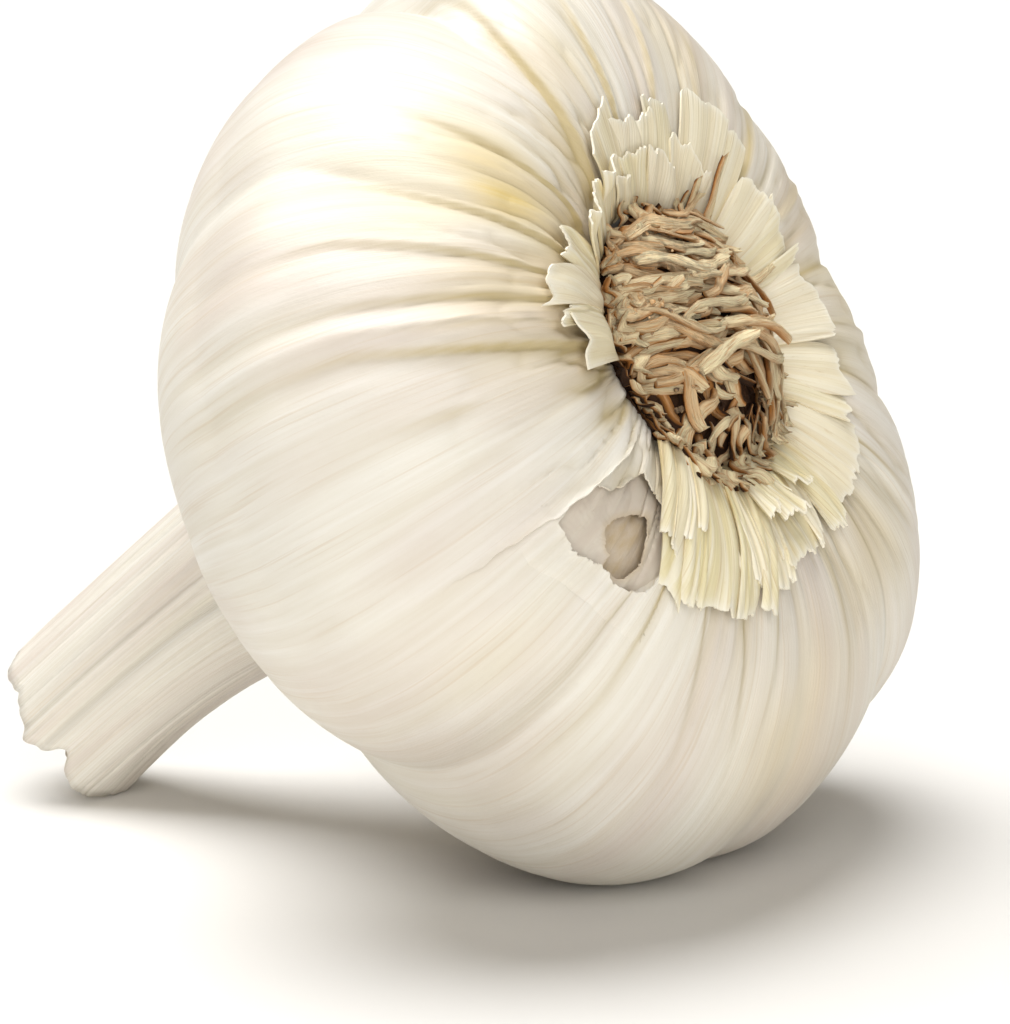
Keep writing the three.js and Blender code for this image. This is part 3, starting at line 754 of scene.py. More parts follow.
def bulb_runs(angles):
    """Runs of the mesh's rows, to the stem's frayed end."""
    shares = np.concatenate([
        np.linspace(0, ROOT_ROWS_TO, BULB_ROOT_ROWS, endpoint=False),
        np.linspace(ROOT_ROWS_TO, BELLY_ROWS_TO, BULB_BELLY_ROWS, endpoint=False),
    ])[:, None]
    up_stem = np.linspace(0, 1, BULB_STEM_ROWS + 1)[:, None]
    frayed = end_run(angles) - END_FRAY * (1 + around_noise(angles, angles * 0, 60, 9, 29)) / 2
    return np.concatenate([shares + 0 * angles, lerp(BELLY_ROWS_TO, frayed, up_stem)])


def dish_rings(rim):
    """Rings of skin from the middle of the root dish out to its rim."""
    middle = bent(np.array([0.0, 0.0, OUTLINE[0][1]]))
    rings = []
    for share, height in DISH_RINGS:
        ring = lerp(middle, rim, share)
        ring[..., 2] = height
        rings.append(ring)
    return np.array(rings)


def end_rings(rim, angles):
    """Rings of dry layers from the stem's ragged rim in to its middle."""
    axis = rim[:-1].mean(axis=0)
    rings = []
    for share, depth in END_RINGS:
        ring = lerp(axis, rim, share)
        seed = int(37 + 100 * share)
        wave = 1 + 0.5 * around_noise(angles, angles * 0, 26, 9, seed) if share else 1
        ring[:, 2] -= depth * wave
        rings.append(ring)
    return np.array(rings)


def with_rings(rows, at_dish, at_end):
    """Numbers of the skin's rows, with one number for the dish's rings and one for the stem end's."""
    dish = np.full((len(DISH_RINGS), rows.shape[1]), float(at_dish))
    end = np.full((len(END_RINGS), rows.shape[1]), float(at_end))
    return np.concatenate([dish, rows, end])


class GARLIC_OT_bulb(bpy.types.Operator):
    """Build the cloves in their skin, with the stem"""

    bl_idname = "garlic.bulb"
    bl_label = "Build Bulb"

    def execute(self, context):
        settings = context.scene.garlic_skin
        angles = bulb_angles()[None, :]
        runs = bulb_runs(angles)
        relief = skin_relief(angles, runs, settings.wrinkles)
        let_in = settings.tear_depth / MM * tear_share(angles, runs)
        skin = skin_points(angles, runs, relief)
        skin = skin - outward(angles, runs, BROAD_STEP) * let_in[..., None]
        growing = np.concatenate([dish_rings(skin[0]), skin, end_rings(skin[-1], angles[0])])
        placed = to_row(growing)
        for k, row in enumerate(placed[-len(END_RINGS):]):
            row[:, 2] = np.maximum(row[:, 2], k * END_CLEARANCE * MM)
        all_runs = with_rings(runs, 0, RUN_LENGTH)
        values = skin_values(angles, all_runs, with_rings(relief, 0, 0))
        values["Bare"] = tear_share(angles, all_runs)
        # the stem's end takes painted shade over its sunken dry layers
        values["CreaseShade"] = np.maximum(values["CreaseShade"], with_rings(0 * runs, 0, END_SHADE))
        bulb = smooth(close_seams(grid_sheet("bulb_skin", placed, values)))
        dress(bulb, skin_material("garlic_skin", settings), "bulb_skin", "bulb")
        return {"FINISHED"}


# ---------------------------------------------------------------- the torn window

# outline of the window torn in the outer skin, as (angle, run)
WINDOW = np.array([
    (69.2, 12.3), (65.8, 11.6), (63.4, 9.8), (61.4, 8.4), (58.6, 8.6), (55.1, 9.0), (51.7, 10.2),
    (49.0, 12.5), (47.3, 14.8), (48.6, 16.5), (51.9, 17.0), (55.2, 16.9), (58.3, 16.5), (60.9, 16.6),
    (63.7, 17.0), (66.2, 16.8), (69.6, 16.3), (70.4, 14.4),
])
# outline of the hole in the inner skin
HOLE = np.array([
    (61.6, 13.7), (60.9, 12.7), (58.5, 11.6), (54.9, 10.8), (53.2, 11.6), (51.3, 13.9), (51.3, 15.0),
    (52.9, 16.3), (56.1, 16.4), (57.8, 16.2), (57.9, 15.3), (59.8, 14.8),
])
WINDOW_COLUMNS = 300
WINDOW_JAG = 0.13
# how far the patches round the openings reach, as a share of the opening, and their rows
OUTER_PATCH_REACH, OUTER_PATCH_ROWS = 1.95, 24
INNER_PATCH_REACH, INNER_PATCH_ROWS = 3.5, 20
# thickness of the outer and the inner skin, in metres
OUTER_SKIN, INNER_SKIN = 0.00012, 0.0001
# the line along which the outer skin is torn, as (angle, run)
LIP_LINE = np.array([
    (65.6, 4.5), (66.6, 5.5), (68, 9), (69, 12.3), (70.2, 14.6), (70.6, 16.3), (71.5, 18.2),
    (71.9, 20.8), (72.1, 23.5), (72.3, 28),
])
LIP_ROWS, LIP_COLUMNS = 120, 12
LIP_WIDTH, LIP_HEIGHT = 7, 0.5
# runs at which the lip has risen and starts to fall
LIP_RISEN, LIP_FALLS = 9, 17


def closed_outline(points, columns, jag, seed):
    """A closed smooth outline through points, made ragged by a jag in millimetres of run."""
    wrapped = np.concatenate([points, points[:1]])
    shares = np.linspace(0, 1, columns)
    smooth_line = spline_through(wrapped, shares)
    teeth = line_noise(shares * 70, 70, seed) + 0.7 * line_noise(shares * 150, 150, seed + 1)
    centre = points.mean(axis=0)
    away = smooth_line - centre
    size = np.hypot(away[:, 0] * WIDEST * 0.7 * np.pi / 180, away[:, 1])[:, None]
    line = smooth_line + away / size * jag * teeth[:, None]
    line[-1] = line[0]
    return line, smooth_line


def ring_patch(name, outline, reach, lift, settings, rows):
    """A patch of skin round a ragged outline, lifted by a function of the share of the way out."""
    ragged, plain = outline
    centre = plain.mean(axis=0)
    outer = centre + (plain - centre) * reach
    shares = (np.linspace(0, 1, rows) ** 1.6)[:, None]
    inner = lerp(plain[None], ragged[None], ((1 - shares) ** 5)[..., None])
    angle = lerp(inner[..., 0], outer[None, :, 0], shares)
    run = lerp(inner[..., 1], outer[None, :, 1], shares)
    relief = skin_relief(angle, run, settings.wrinkles)
    raised = outward(angle, run, FINE_STEP) * lift(shares)[..., None]
    values = skin_values(angle, run, relief)
    values["Rim"] = bump(shares * 9)
    points = skin_points(angle, run, relief) + raised
    return close_seams(grid_sheet(name, to_row(points), values))


def outer_lift(share):
    """Height of the outer skin, a share of the way out from its torn window."""
    settling = 0.10 * (1 - smoothstep(share, 0.3, 0.95)) - 0.08 * smoothstep(share, 0.7, 1.0)
    return settling + 0.16 * (1 - share) ** 6


def inner_lift(share):
    """Height of the inner skin, below the outer one, a share of the way out from its hole."""
    return -0.42 - 0.12 * share + 0.08 * (1 - share) ** 6


def inner_skin_material(name, settings):
    """The thin skin behind the torn one: pinkish grey with faint veins and a browner torn rim."""
    graph = Graph(name)
    grain = graph.stored("Grain", "Vector")
    veins = graph.noise(grain, (2.4, 2.4, 0.12), shift=(2, 6, 3))
    mottle = graph.noise(grain, (0.7, 0.7, 0.5), shift=(8, 4, 2))
    colour = graph.mix(graph.remap(mottle, 0.3, 0.75, 0.0, 0.6), settings.inner, settings.skin)
    colour = graph.mix(graph.remap(veins, 0.55, 0.75, 0.0, 0.25), colour, settings.vein)
    colour = graph.mix(graph.times(graph.stored("Rim"), 0.5), colour, settings.clove)
    return graph.finish(colour, 0.36, graph.bump(veins, 0.00004, 0.5))


class GARLIC_OT_torn_window(bpy.types.Operator):
    """Build the torn edge of the outer skin and the inner skin behind it"""

    bl_idname = "garlic.torn_window"
    bl_label = "Build Torn Window"

    def execute(self, context):
        settings = context.scene.garlic_skin
        window = closed_outline(WINDOW, WINDOW_COLUMNS, WINDOW_JAG, 41)
        hole = closed_outline(HOLE, WINDOW_COLUMNS, WINDOW_JAG * 0.6, 47)
        outer = ring_patch("torn_edge", window, OUTER_PATCH_REACH, outer_lift, settings,
                           OUTER_PATCH_ROWS)
        smooth(thicken(outer, OUTER_SKIN), SKIN_SMOOTH)
        dress(outer, skin_material("garlic_skin_edge", settings), "bulb_skin")
        inner = ring_patch("inner_skin", hole, INNER_PATCH_REACH, inner_lift, settings,
                           INNER_PATCH_ROWS)
        smooth(thicken(inner, INNER_SKIN), SKIN_SMOOTH)
        dress(inner, inner_skin_material("thin_inner_skin", settings), "bulb_skin")
        lip = self.torn_lip(settings)
        dress(lip, skin_material("garlic_skin_lip", settings), "bulb_skin", "skin_tongue")
        return {"FINISHED"}

    def torn_lip(self, settings):
        """The raised edge of the outer skin, torn along its fibres."""
        first, last = LIP_LINE[0, 1], LIP_LINE[-1, 1]
        run = np.linspace(first, last, LIP_ROWS)[:, None]
        across = np.linspace(0, 1, LIP_COLUMNS)[None, :]
        jag = 0.2 * line_noise(run * 0.8, 64, 73) + 0.1 * line_noise(run * 3, 128, 79)
        angle = np.interp(run, LIP_LINE[:, 1], LIP_LINE[:, 0]) + jag + LIP_WIDTH * across ** 1.4
        run = run + 0 * across
        rise = smoothstep(run, first, LIP_RISEN) * (1 - smoothstep(run, LIP_FALLS, last))
        relief = skin_relief(angle, run, settings.wrinkles)
        lift = LIP_HEIGHT * rise * (1 - across) ** 2.6 + 0.1 * rise * (1 - across)
        lift = lift - 0.06 * across ** 2 - 0.03 * (1 - rise)
        points = skin_points(angle, run, relief) + outward(angle, run, FINE_STEP) * lift[..., None]
        lip = grid_sheet("torn_lip", to_row(points), skin_values(angle, run, relief))
        return smooth(thicken(lip, OUTER_SKIN), SKIN_SMOOTH)


# ---------------------------------------------------------------- torn skin round the roots

# Each flap is a row of torn strips. base: angles of the row's two ends at the root rim; start: run of
# the strips' feet; tips: (angle, run) along the torn edge; count: how many strips; lift: how far the
# tips stand off the bulb; jag: how unevenly the strips are torn; tone: 0 pinkish white to 1 yellow
# straw; layer: height of the whole row over the skin.
FLAPS = {
    "fan": dict(
        base=(61, 4), start=1.4, count=8, lift=0.4, jag=0.6, tone=0.9, layer=0.35, seed=41,
        tips=[(46.6, 16.2), (43.4, 15.8), (39.4, 14.8), (34.8, 14.1), (30.8, 13.6), (27.0, 13.2),
              (23.0, 12.9), (16.8, 12.0)]),
    "fan_shreds": dict(
        base=(60, 38), start=2.0, count=4, lift=0.2, jag=0.9, tone=0.4, layer=0.5, seed=47,
        tips=[(51.5, 11.0), (48.4, 13.6), (45.0, 11.4), (39, 8.4)]),
    "fan_under": dict(
        base=(34, -2), start=1.0, count=5, lift=0.35, jag=0.8, tone=0.2, layer=0.2, seed=43,
        tips=[(27, 11.4), (20, 10.6), (14, 11.2), (8, 10.0)]),
    "lower_right": dict(
        base=(4, -34), start=0.6, count=4, lift=0.35, jag=2.0, tone=0.5, layer=0.22, seed=53,
        tips=[(9, 8.6), (5, 9.9), (0, 10.3), (-8, 9.4), (-16, 9.6), (-28, 10.2)]),
    "lower_right_short": dict(
        base=(10, -24), start=0.3, count=4, lift=1.0, jag=1.8, tone=1.0, layer=0.5, seed=59,
        tips=[(12, 6.0), (0, 6.6), (-22, 5.6)]),
    "right": dict(
        base=(-28, -62), start=0.6, count=4, lift=0.05, jag=1.3, tone=0.4, layer=0.08, seed=67,
        tips=[(-27, 9.6), (-38, 8.8), (-50, 8.8), (-62, 8.0)]),
    "far": dict(
        base=(300, 234), start=0.6, count=6, lift=0.05, jag=1.3, tone=0.4, layer=0.08, seed=79,
        tips=[(302, 8.0), (281, 8.8), (266, 8.8), (248, 7.2), (236, 8.2)]),
    "top": dict(
        base=(233, 160), start=0.6, count=6, lift=0.25, jag=1.1, tone=0.3, layer=0.2, seed=11,
        tips=[(233, 9.4), (225, 9.7), (213, 9.4), (200, 8.6), (193, 7.4), (186, 6.6), (176, 7.4),
              (166, 8.6), (157, 10.2)]),
    "top_short": dict(
        base=(228, 165), start=0.3, count=4, lift=0.3, jag=1.5, tone=0.5, layer=0.38, seed=13,
        tips=[(226, 5.8), (200, 5.2), (178, 4.6), (165, 4.4)]),
    "upper_left": dict(
        base=(164, 126), start=0.2, count=3, lift=1.1, jag=1.2, tone=0.5, layer=0.3, seed=23,
        tips=[(163, 5.4), (152, 7.2), (140, 6.2), (128, 6.8)]),
    "left": dict(
        base=(132, 90), start=0.2, count=4, lift=0.5, jag=0.9, tone=0.55, layer=0.3, seed=37,
        tips=[(125, 7.4), (118, 9.6), (110, 11.4), (104, 10.4), (99, 8.0), (95, 8.4), (91, 6.8)]),
}
# the rows that stand for a node of the frame
FLAP_NODES = {
    "fan": "skin_flap_fan", "lower_right": "skin_flap_lower_right", "right": "skin_flap_right",
    "far": "skin_flap_far", "top": "skin_flap_top", "upper_left": "skin_flap_upper_left",
    "left": "skin_flap_left",
}
STRIP_ROWS, STRIP_COLUMNS, STRIP_TEETH = 19, 21, 8
STRIP_OVERLAP = 1.16
STRIP_FOOT_WIDTH = 1.2
STRIP_LAYERS = 0.11
STRIP_PLEAT = 0.10
STRIP_CURL = 2.4
STRIP_SINK = 0.35


def strip_sheet(name, foot, tip, half_angles, layer, flap, seed):
    """One strip of torn skin, from its foot by the roots to its ragged tip, each as (angle, run)."""
    rng = np.random.default_rng(seed)
    v = np.linspace(0, 1, STRIP_ROWS)[:, None]
    u = np.linspace(-1, 1, STRIP_COLUMNS)[None, :]
    teeth = np.interp(u, np.linspace(-1, 1, STRIP_TEETH), rng.uniform(0, 1, STRIP_TEETH) ** 1.4)
    teeth = teeth + rng.uniform(-0.18, 0.18, STRIP_COLUMNS)
    slant = rng.uniform(-0.5, 0.5) * flap["jag"]
    edge = tip[1] - flap["jag"] * 0.5 * teeth + slant * u
    run = foot[1] + v * (edge - foot[1])
    middle = foot[0] + (tip[0] - foot[0]) * (run - foot[1]) / (tip[1] - foot[1])
    wander = rng.uniform(-0.25, 0.25) * half_angles[1]
    split = 1 - rng.uniform(0.0, 0.35) * v ** 4
    angle = middle + wander * v * v + u * lerp(*half_angles, v) * split
    pleat = STRIP_PLEAT * (0.3 + 0.7 * v) * (1 - u * u) * rng.uniform(0.5, 1.5)
    roll = rng.uniform(-0.3, 0.3) * u * v * v
    waves = 0.09 * v * np.sin(np.pi * (rng.uniform(1, 2.5) * v + rng.uniform(0, 2)) + 1.5 * u)
    ribs = np.cos(np.pi * rng.uniform(1.0, 2.0) * u + rng.uniform(0, 6))
    curl = flap["lift"] * rng.uniform(0.6, 1.3) * v ** STRIP_CURL
    sink = STRIP_SINK * (1 - smoothstep(v, 0.0, 0.12))
    height = layer + pleat + roll + waves + 0.06 * ribs + curl - sink
    points = skin_points(angle, run) + outward(angle, run, BROAD_STEP) * height[..., None]
    sides = 0.3 * smoothstep(np.abs(u), 0.7, 1.0) * smoothstep(v, 0.3, 0.9)
    # painted shade: darker at the feet, along the sides by the feet and in the valleys of the ribs
    shade = (np.abs(u) ** 3) * (1 - v) + 0.6 * (1 - smoothstep(v, 0.0, 0.4))
    return grid_sheet(name, to_row(points), {
        "Grain": grain_of(angle + seed * 17.3, run),
        "Rim": np.maximum(smoothstep(v, 0.92, 1.0), sides),
        "Tone": np.clip(flap["tone"] + rng.uniform(-0.28, 0.28), 0, 1) + 0 * run,
        "Shade": np.clip(shade - 0.4 * ribs * (1 - 0.6 * v), 0, 1),
    })


def build_flap(label, settings, material):
    """A row of torn strips joined in one piece."""
    flap = FLAPS[label]
    rng = np.random.default_rng(flap["seed"])
    tips = np.array(flap["tips"], float)
    along = np.linspace(0, 1, len(tips))
    count = flap["count"]
    cuts = np.linspace(0, 1, count + 1)
    cuts[1:-1] += rng.uniform(-0.36, 0.36, count - 1) / count
    strips = []
    for k in range(count):
        share = (cuts[k] + cuts[k + 1]) / 2
        width = (cuts[k + 1] - cuts[k]) / 2
        foot = (lerp(*flap["base"], share), flap["start"])
        shorter = rng.uniform(0, 0.6) * flap["jag"]
        tip = (np.interp(share, along, tips[:, 0]), np.interp(share, along, tips[:, 1]) - shorter)
        half = (abs(flap["base"][1] - flap["base"][0]) * width * STRIP_FOOT_WIDTH,
                abs(tips[-1, 0] - tips[0, 0]) * width * STRIP_OVERLAP)
        layer = flap["layer"] + STRIP_LAYERS * (k % 2) + rng.uniform(0, 0.08)
        seed = flap["seed"] * 100 + k
        sheet = strip_sheet(f"{label}_strip", foot, tip, half, layer, flap, seed)
        strips.append(thicken(sheet, settings.thickness))
    piece = smooth(join(strips, f"torn_skin_{label}"), STRIP_SMOOTH)
    nodes = [FLAP_NODES[label]] if label in FLAP_NODES else []
    return dress(piece, material, "torn_skin", *nodes)


def flap_material(name, settings):
    """Torn skin: straw with white and ochre streaks and white torn rims, with painted ochre shade
    between the pleats and at the strips' feet.
    """
    graph = Graph(name)
    grain = graph.stored("Grain", "Vector")
    tone = graph.stored("Tone")
    fibres = graph.noise(grain, (1.3, 1.3, 0.06))
    streaks = graph.noise(grain, (3.6, 3.6, 0.08), shift=(4, 8, 2))
    mottle = graph.noise(grain, (1.2, 1.2, 0.8), detail=4.0, shift=(9, 1, 5))
    colour = graph.mix(tone, settings.pink, settings.flap)
    strength = graph.remap(tone, 0.2, 0.9, 0.35, 0.6)
    pale = graph.times(graph.remap(fibres, 0.46, 0.66), strength)
    colour = graph.mix(pale, colour, settings.rim)
    ochre = graph.times(graph.remap(streaks, 0.56, 0.72), strength)
    colour = graph.mix(ochre, colour, settings.shade)
    colour = graph.mix(graph.remap(mottle, 0.62, 0.8, 0.0, 0.35), colour, settings.shade)
    # painted shade between the pleats and at the strips' feet
    shade = graph.times(graph.stored("Shade"), strength)
    colour = graph.mix(shade, colour, settings.shade)
    colour = graph.mix(graph.times(graph.stored("Rim"), 0.7), colour, settings.rim)
    normal = graph.bump(graph.math("ADD", fibres, graph.times(streaks, 0.6)), 0.00012, 0.7)
    return graph.finish(colour, 0.5, normal, Specular_IOR_Level=0.4)


class GARLIC_OT_torn_skin(bpy.types.Operator):
    """Build the strips of torn skin round the roots"""

    bl_idname = "garlic.torn_skin"
    bl_label = "Build Torn Skin"

    def execute(self, context):
        settings = context.scene.garlic_flaps
        material = flap_material("torn_garlic_skin", settings)
        for label in FLAPS:
            build_flap(label, settings, material)
        return {"FINISHED"}


# ---------------------------------------------------------------- dried roots

PLATE_RADIUS = 8.8
PLATE_RIM, PLATE_CROWN, PLATE_FALL = 0.5, -1.7, 2.4
# rings of the plate's hidden side: share of its radius, height
PLATE_RINGS = [(0.97, 1.8), (0.6, 1.9), (0.0, 1.9)]
PLATE_SINK, PLATE_ROUGHNESS = 0.06, 0.25
# radii and heights of the skin round the root dish
DISH_RADII = [9.2, 10.0, 10.9, 11.8, 12.9, 15.0]
DISH_HEIGHTS = [1.5, 0.93, 0.39, -0.05, -0.36, -0.86]
# reach of the mat of roots as a share of the plate's radius, and how it spreads wider on one side
MAT_REACH, MAT_SPREAD, MAT_SPREAD_MIDDLE, MAT_SPREAD_HALF = 1.03, 0.27, 42, 80
PLATE_COLUMNS, PLATE_ROWS = 120, 26
STRAND_ROUND = 8
STRAND_RINGS = [0, 0.015, 0.1, 0.22, 0.36, 0.5, 0.64, 0.78, 0.9, 0.985, 1]
# layers of strands: share of all strands, height over the plate, least and most length
STRAND_LAYERS = [(0.46, -0.1, 3.0, 6.5), (0.32, 0.55, 3.0, 6.0), (0.22, 1.25, 3.5, 7.5)]
# short curly roots at the rim: sector from, to, how many, length, tone
FRINGES = [
    (-55, 65, 64, 2.6, 0.8), (65, 125, 26, 2.0, 0.75), (125, 175, 14, 2.3, 0.5),
    (175, 305, 24, 2.6, 0.5),
]
# share of the upper strands missing where the mat is thin, on the side nearest the ground
THINNED_SHARE = 0.3
GOLDEN_ANGLE = 2.39996
# single roots that stand out: x, y, heading, length, height over the plate, rise of the tip, curl
STRAY_ROOTS = [
    (-6.6, -2.4, 190, 3.0, 0.6, 0.3, -110), (-6.0, -1.6, 200, 2.6, 0.5, 0.5, 90),
    (-4.0, -5.8, -60, 6.5, 1.0, 0.3, -75), (-1.0, -6.8, 28, 9.0, 1.3, 0.4, 8),
    (1.5, -6.6, 24, 8.0, 1.5, 0.5, 6), (3.0, -6.0, 20, 7.0, 1.4, 0.6, -12),
    (6.0, 0.8, 12, 4.0, 0.6, 1.1, 60), (6.8, -1.0, -10, 3.6, 0.6, 1.2, -70),
    (6.4, 3.0, 30, 3.4, 0.5, 1.0, 50), (7.0, -3.0, 10, 3.8, 0.6, 1.0, 80),
    (5.2, 4.6, 45, 3.4, 0.5, 0.8, -60), (0.6, -8.4, 27, 7.0, 1.5, 0.4, 10),
    (-1.6, -8.5, 24, 6.0, 1.0, 0.4, -14), (3.4, -7.8, 30, 6.0, 1.7, 0.7, -20),
    (-5.0, -6.4, 205, 6.8, 1.0, 0.5, 28), (-5.6, -5.4, 196, 4.4, 0.8, 0.8, -30),
    (-7.8, 0.2, 120, 3.0, 0.9, 0.2, 200), (0.2, 1.0, -76, 9.0, 1.9, 0.7, 16),
    (1.6, 2.0, -70, 8.6, 1.8, 0.5, -18),
]
STRAY_TONE = 0.7
# places on the plate where soil clings: x, y, reach, strength
SOILED = [(-5.5, 3.8, 2.6, 0.7), (-2.0, 6.5, 1.8, 0.4), (6.0, -3.5, 2.0, 0.25), (4.0, 7.0, 1.8, 0.25)]
SOILED_ALL_OVER = 0.03
CRUMBS = 60
# a root's path: its steps, where along it the curl turns about, and how far its start is sunk
PATH_STEPS, CURL_MIDDLE, START_SINK = 32, 0.3, 0.5


def plate_height(x, y):
    """Height of the root plate's domed face, which bulges away from the stem."""
    share = np.clip(np.hypot(x, y) / PLATE_RADIUS, 0, 1.2)
    return lerp(PLATE_CROWN, PLATE_RIM, share ** PLATE_FALL)


def mat_reach(angle):
    """How far from the plate's middle the mat of roots spreads at an angle, in degrees."""
    spread = MAT_SPREAD * bump(turn_between(angle, MAT_SPREAD_MIDDLE) / MAT_SPREAD_HALF)
    return PLATE_RADIUS * (MAT_REACH + spread)


def bed_height(x, y):
    """Height of what the roots lie on: the plate, and beyond it the skin round the dish."""
    return np.minimum(plate_height(x, y), np.interp(np.hypot(x, y), DISH_RADII, DISH_HEIGHTS))


def combed_heading(x, y):
    """The way the roots lie at a place on the plate, in degrees: combed across, then down one side."""
    low = smoothstep(x, 2.4, 6.4)
    side = smoothstep(0.376 * x - 0.5 * y, 2.6, 4.2) * smoothstep(x, -3.0, 1.5)
    return lerp(lerp(-78.0, 52.0, low), 26.0, side)


def strand_rest_points():
    """A straight strand: a flattened tube of unit length along +X, with its ends drawn together."""
    along = np.array(STRAND_RINGS)[:, None]
    around = np.linspace(0, 2 * np.pi, STRAND_ROUND + 1)[None, :]
    width = (np.abs(2 * along - 1) < 1) * 1.0
    return np.stack(np.broadcast_arrays(along, width * np.cos(around), width * np.sin(around)), axis=-1)


def way_of(heading):
    """The direction of a heading on the plate, in degrees."""
    return np.array([np.cos(np.radians(heading)), np.sin(np.radians(heading))])


def reach_towards(place):
    """How far the mat of roots spreads in the direction of a place on the plate."""
    return mat_reach(np.degrees(np.arctan2(place[1], place[0])))


def root_shift(points):
    """The lean of the bulb's axis by the root plate."""
    share = np.maximum(1 - np.maximum(points[..., 2], 0) / ROOT_SHIFT_OVER, 0)
    return np.stack([ROOT_SHIFT[0] * share, ROOT_SHIFT[1] * share, 0 * share], axis=-1)


def shape_strand(piece, rest, start, heading, length, width, thick, height, rng, tip_rise, curl):
    """Moves a straight strand's points on a combed, waving, twisted path over the plate."""
    across, up = rest[:, 1], rest[:, 2]
    torn = np.sin(3 * np.arctan2(up, across) + rng.uniform(0, FULL_TURN))
    torn = torn + np.sin(5 * across + rng.uniform(0, FULL_TURN))
    s = rest[:, 0] * (1 - 0.05 * torn * smoothstep(rest[:, 0], 0.7, 0.98))
    turn = np.radians(heading + curl * (s - CURL_MIDDLE))
    steps = np.linspace(0, 1, PATH_STEPS + 1)
    ways = way_of(heading + curl * (steps[1:] - CURL_MIDDLE))
    path_x, path_y = [at + np.concatenate([[0], np.cumsum(way)]) / PATH_STEPS * length
                      for at, way in zip(start, ways)]
    phase, swing = rng.uniform(0, FULL_TURN), rng.uniform(0.1, 0.45)
    side = swing * np.sin(2 * np.pi * rng.uniform(0.6, 1.2) * s + phase)
    twist = np.radians(rng.uniform(-40, 40) + rng.uniform(-70, 70) * s)
    w = width / 2 * (0.62 + 0.5 * np.sin(np.pi * np.clip(0.15 + 0.8 * s, 0, 1)))
    w = w * (1 + 0.16 * np.sin(9 * s + 2 * phase) + 0.1 * np.sin(17 * s + 3 * phase))
    groove = 1 - 0.35 * (np.abs(across) < 0.5) * (up > 0)
    a, b = across * w, up * thick / 2 * groove
    lateral = side + a * np.cos(twist) - b * np.sin(twist)
    lift = a * np.sin(twist) + b * np.cos(twist)
    x = np.interp(s, steps, path_x) - np.sin(turn) * lateral
    y = np.interp(s, steps, path_y) + np.cos(turn) * lateral
    rise = height - START_SINK * (1 - smoothstep(s, 0.0, 0.2)) + tip_rise * s ** 3
    rise = rise + 0.14 * np.sin(7 * s + phase)
    points = np.stack([x, y, bed_height(x, y) - rise - lift], axis=-1)
    move_vertices(piece, to_row(points + root_shift(points)))


def combed_roots(strands, rng):
    """Roots of the combed mat, layer on layer: start, heading, length, height, rise, curl, tone."""
    for share, height, shortest, longest in STRAND_LAYERS:
        number = int(strands * share)
        for k in range(number):
            turn = k * GOLDEN_ANGLE + rng.uniform(-0.3, 0.3)
            radius = 0.98 * mat_reach(np.degrees(turn)) * np.sqrt((k + 0.5) / number)
            place = np.array([radius * np.cos(turn), radius * np.sin(turn)])
            if height > 0 and place[0] > 1 and rng.uniform() < THINNED_SHARE:
                continue
            heading = combed_heading(*place) + rng.normal(0, 14)
            length = rng.uniform(shortest, longest) * (1 - 0.35 * smoothstep(place[0], 2, 6))
            start = place - way_of(heading) * length * 0.5
            start = start * min(1, reach_towards(start) / np.hypot(*start))
            end = start + way_of(heading) * length
            over = np.hypot(*end) - 1.04 * reach_towards(end)
            length = length * max(0.35, 1 - max(over, 0) / length)
            lift = height + rng.uniform(-0.3, 0.5)
            rise, curl = rng.uniform(0.0, 0.8), rng.normal(0, 26)
            yield start, heading, length, lift, rise, curl, 0.2 + 0.8 * rng.beta(0.8, 0.8)


def fringe_roots(rng):
    """Short curly roots at the plate's rim, in the order of combed_roots."""
    for low, high, number, longest, tone in FRINGES:
        for k in range(number):
            at = np.radians(lerp(low, high, (k + rng.uniform(0, 1)) / number))
            radius = mat_reach(np.degrees(at)) * rng.uniform(0.84, 1.02)
            start = radius * np.array([np.cos(at), np.sin(at)])
            heading = np.degrees(at) + rng.choice([-1, 1]) * rng.uniform(25, 90)
            length, height = longest * rng.uniform(0.5, 1.0), rng.uniform(0.3, 1.2)
            rise, curl = rng.uniform(-0.3, 0.9), rng.uniform(-95, 95)
            yield start, heading, length, height, rise, curl, tone + rng.uniform(-0.3, 0.3)


def stray_roots():
    """Single roots that stand out, in the order of combed_roots."""
    for x, y, heading, length, height, rise, curl in STRAY_ROOTS:
        yield (x, y), heading, length, height, rise, curl, STRAY_TONE


def root_material(name, settings):
    """Dried roots: straw to brown, with pale torn ends, grooves and grey soil, with painted shade in
    the gaps and on the lower strands and painted light on their upper sides.
    """
    graph = Graph(name)
    grain = graph.stored("Grain", "Vector")
    tone = graph.stored("Tone")
    grooves = graph.noise(grain, (4.2, 4.2, 0.6), detail=4.0)
    soil = graph.noise(grain, (1.1, 1.1, 1.1), detail=5.0, shift=(3, 7, 5))
    colour = graph.mix(tone, settings.brown, settings.straw)
    colour = graph.mix(graph.remap(grooves, 0.5, 0.68, 0.0, 0.65), colour, settings.brown)
    colour = graph.mix(graph.remap(grooves, 0.28, 0.42, 0.5, 0.0), colour, settings.straw)
    dirt = graph.times(graph.remap(soil, 0.44, 0.58), graph.stored("Dirt"))
    colour = graph.mix(dirt, colour, settings.soil)
    # painted shade: lower strands, sunk starts and undersides go brown, then near black
    deep = graph.stored("DepthShade")
    colour = graph.mix(graph.remap(deep, 0.0, 0.45), colour, settings.brown)
    colour = graph.mix(graph.remap(deep, 0.25, 0.72, 0.0, 0.96), colour, settings.gap_shade)
    normal = graph.bump(graph.math("ADD", grooves, graph.times(soil, 0.6)), 0.0004, 1.0)
    return graph.finish(colour, 0.68, normal, Specular_IOR_Level=0.3)


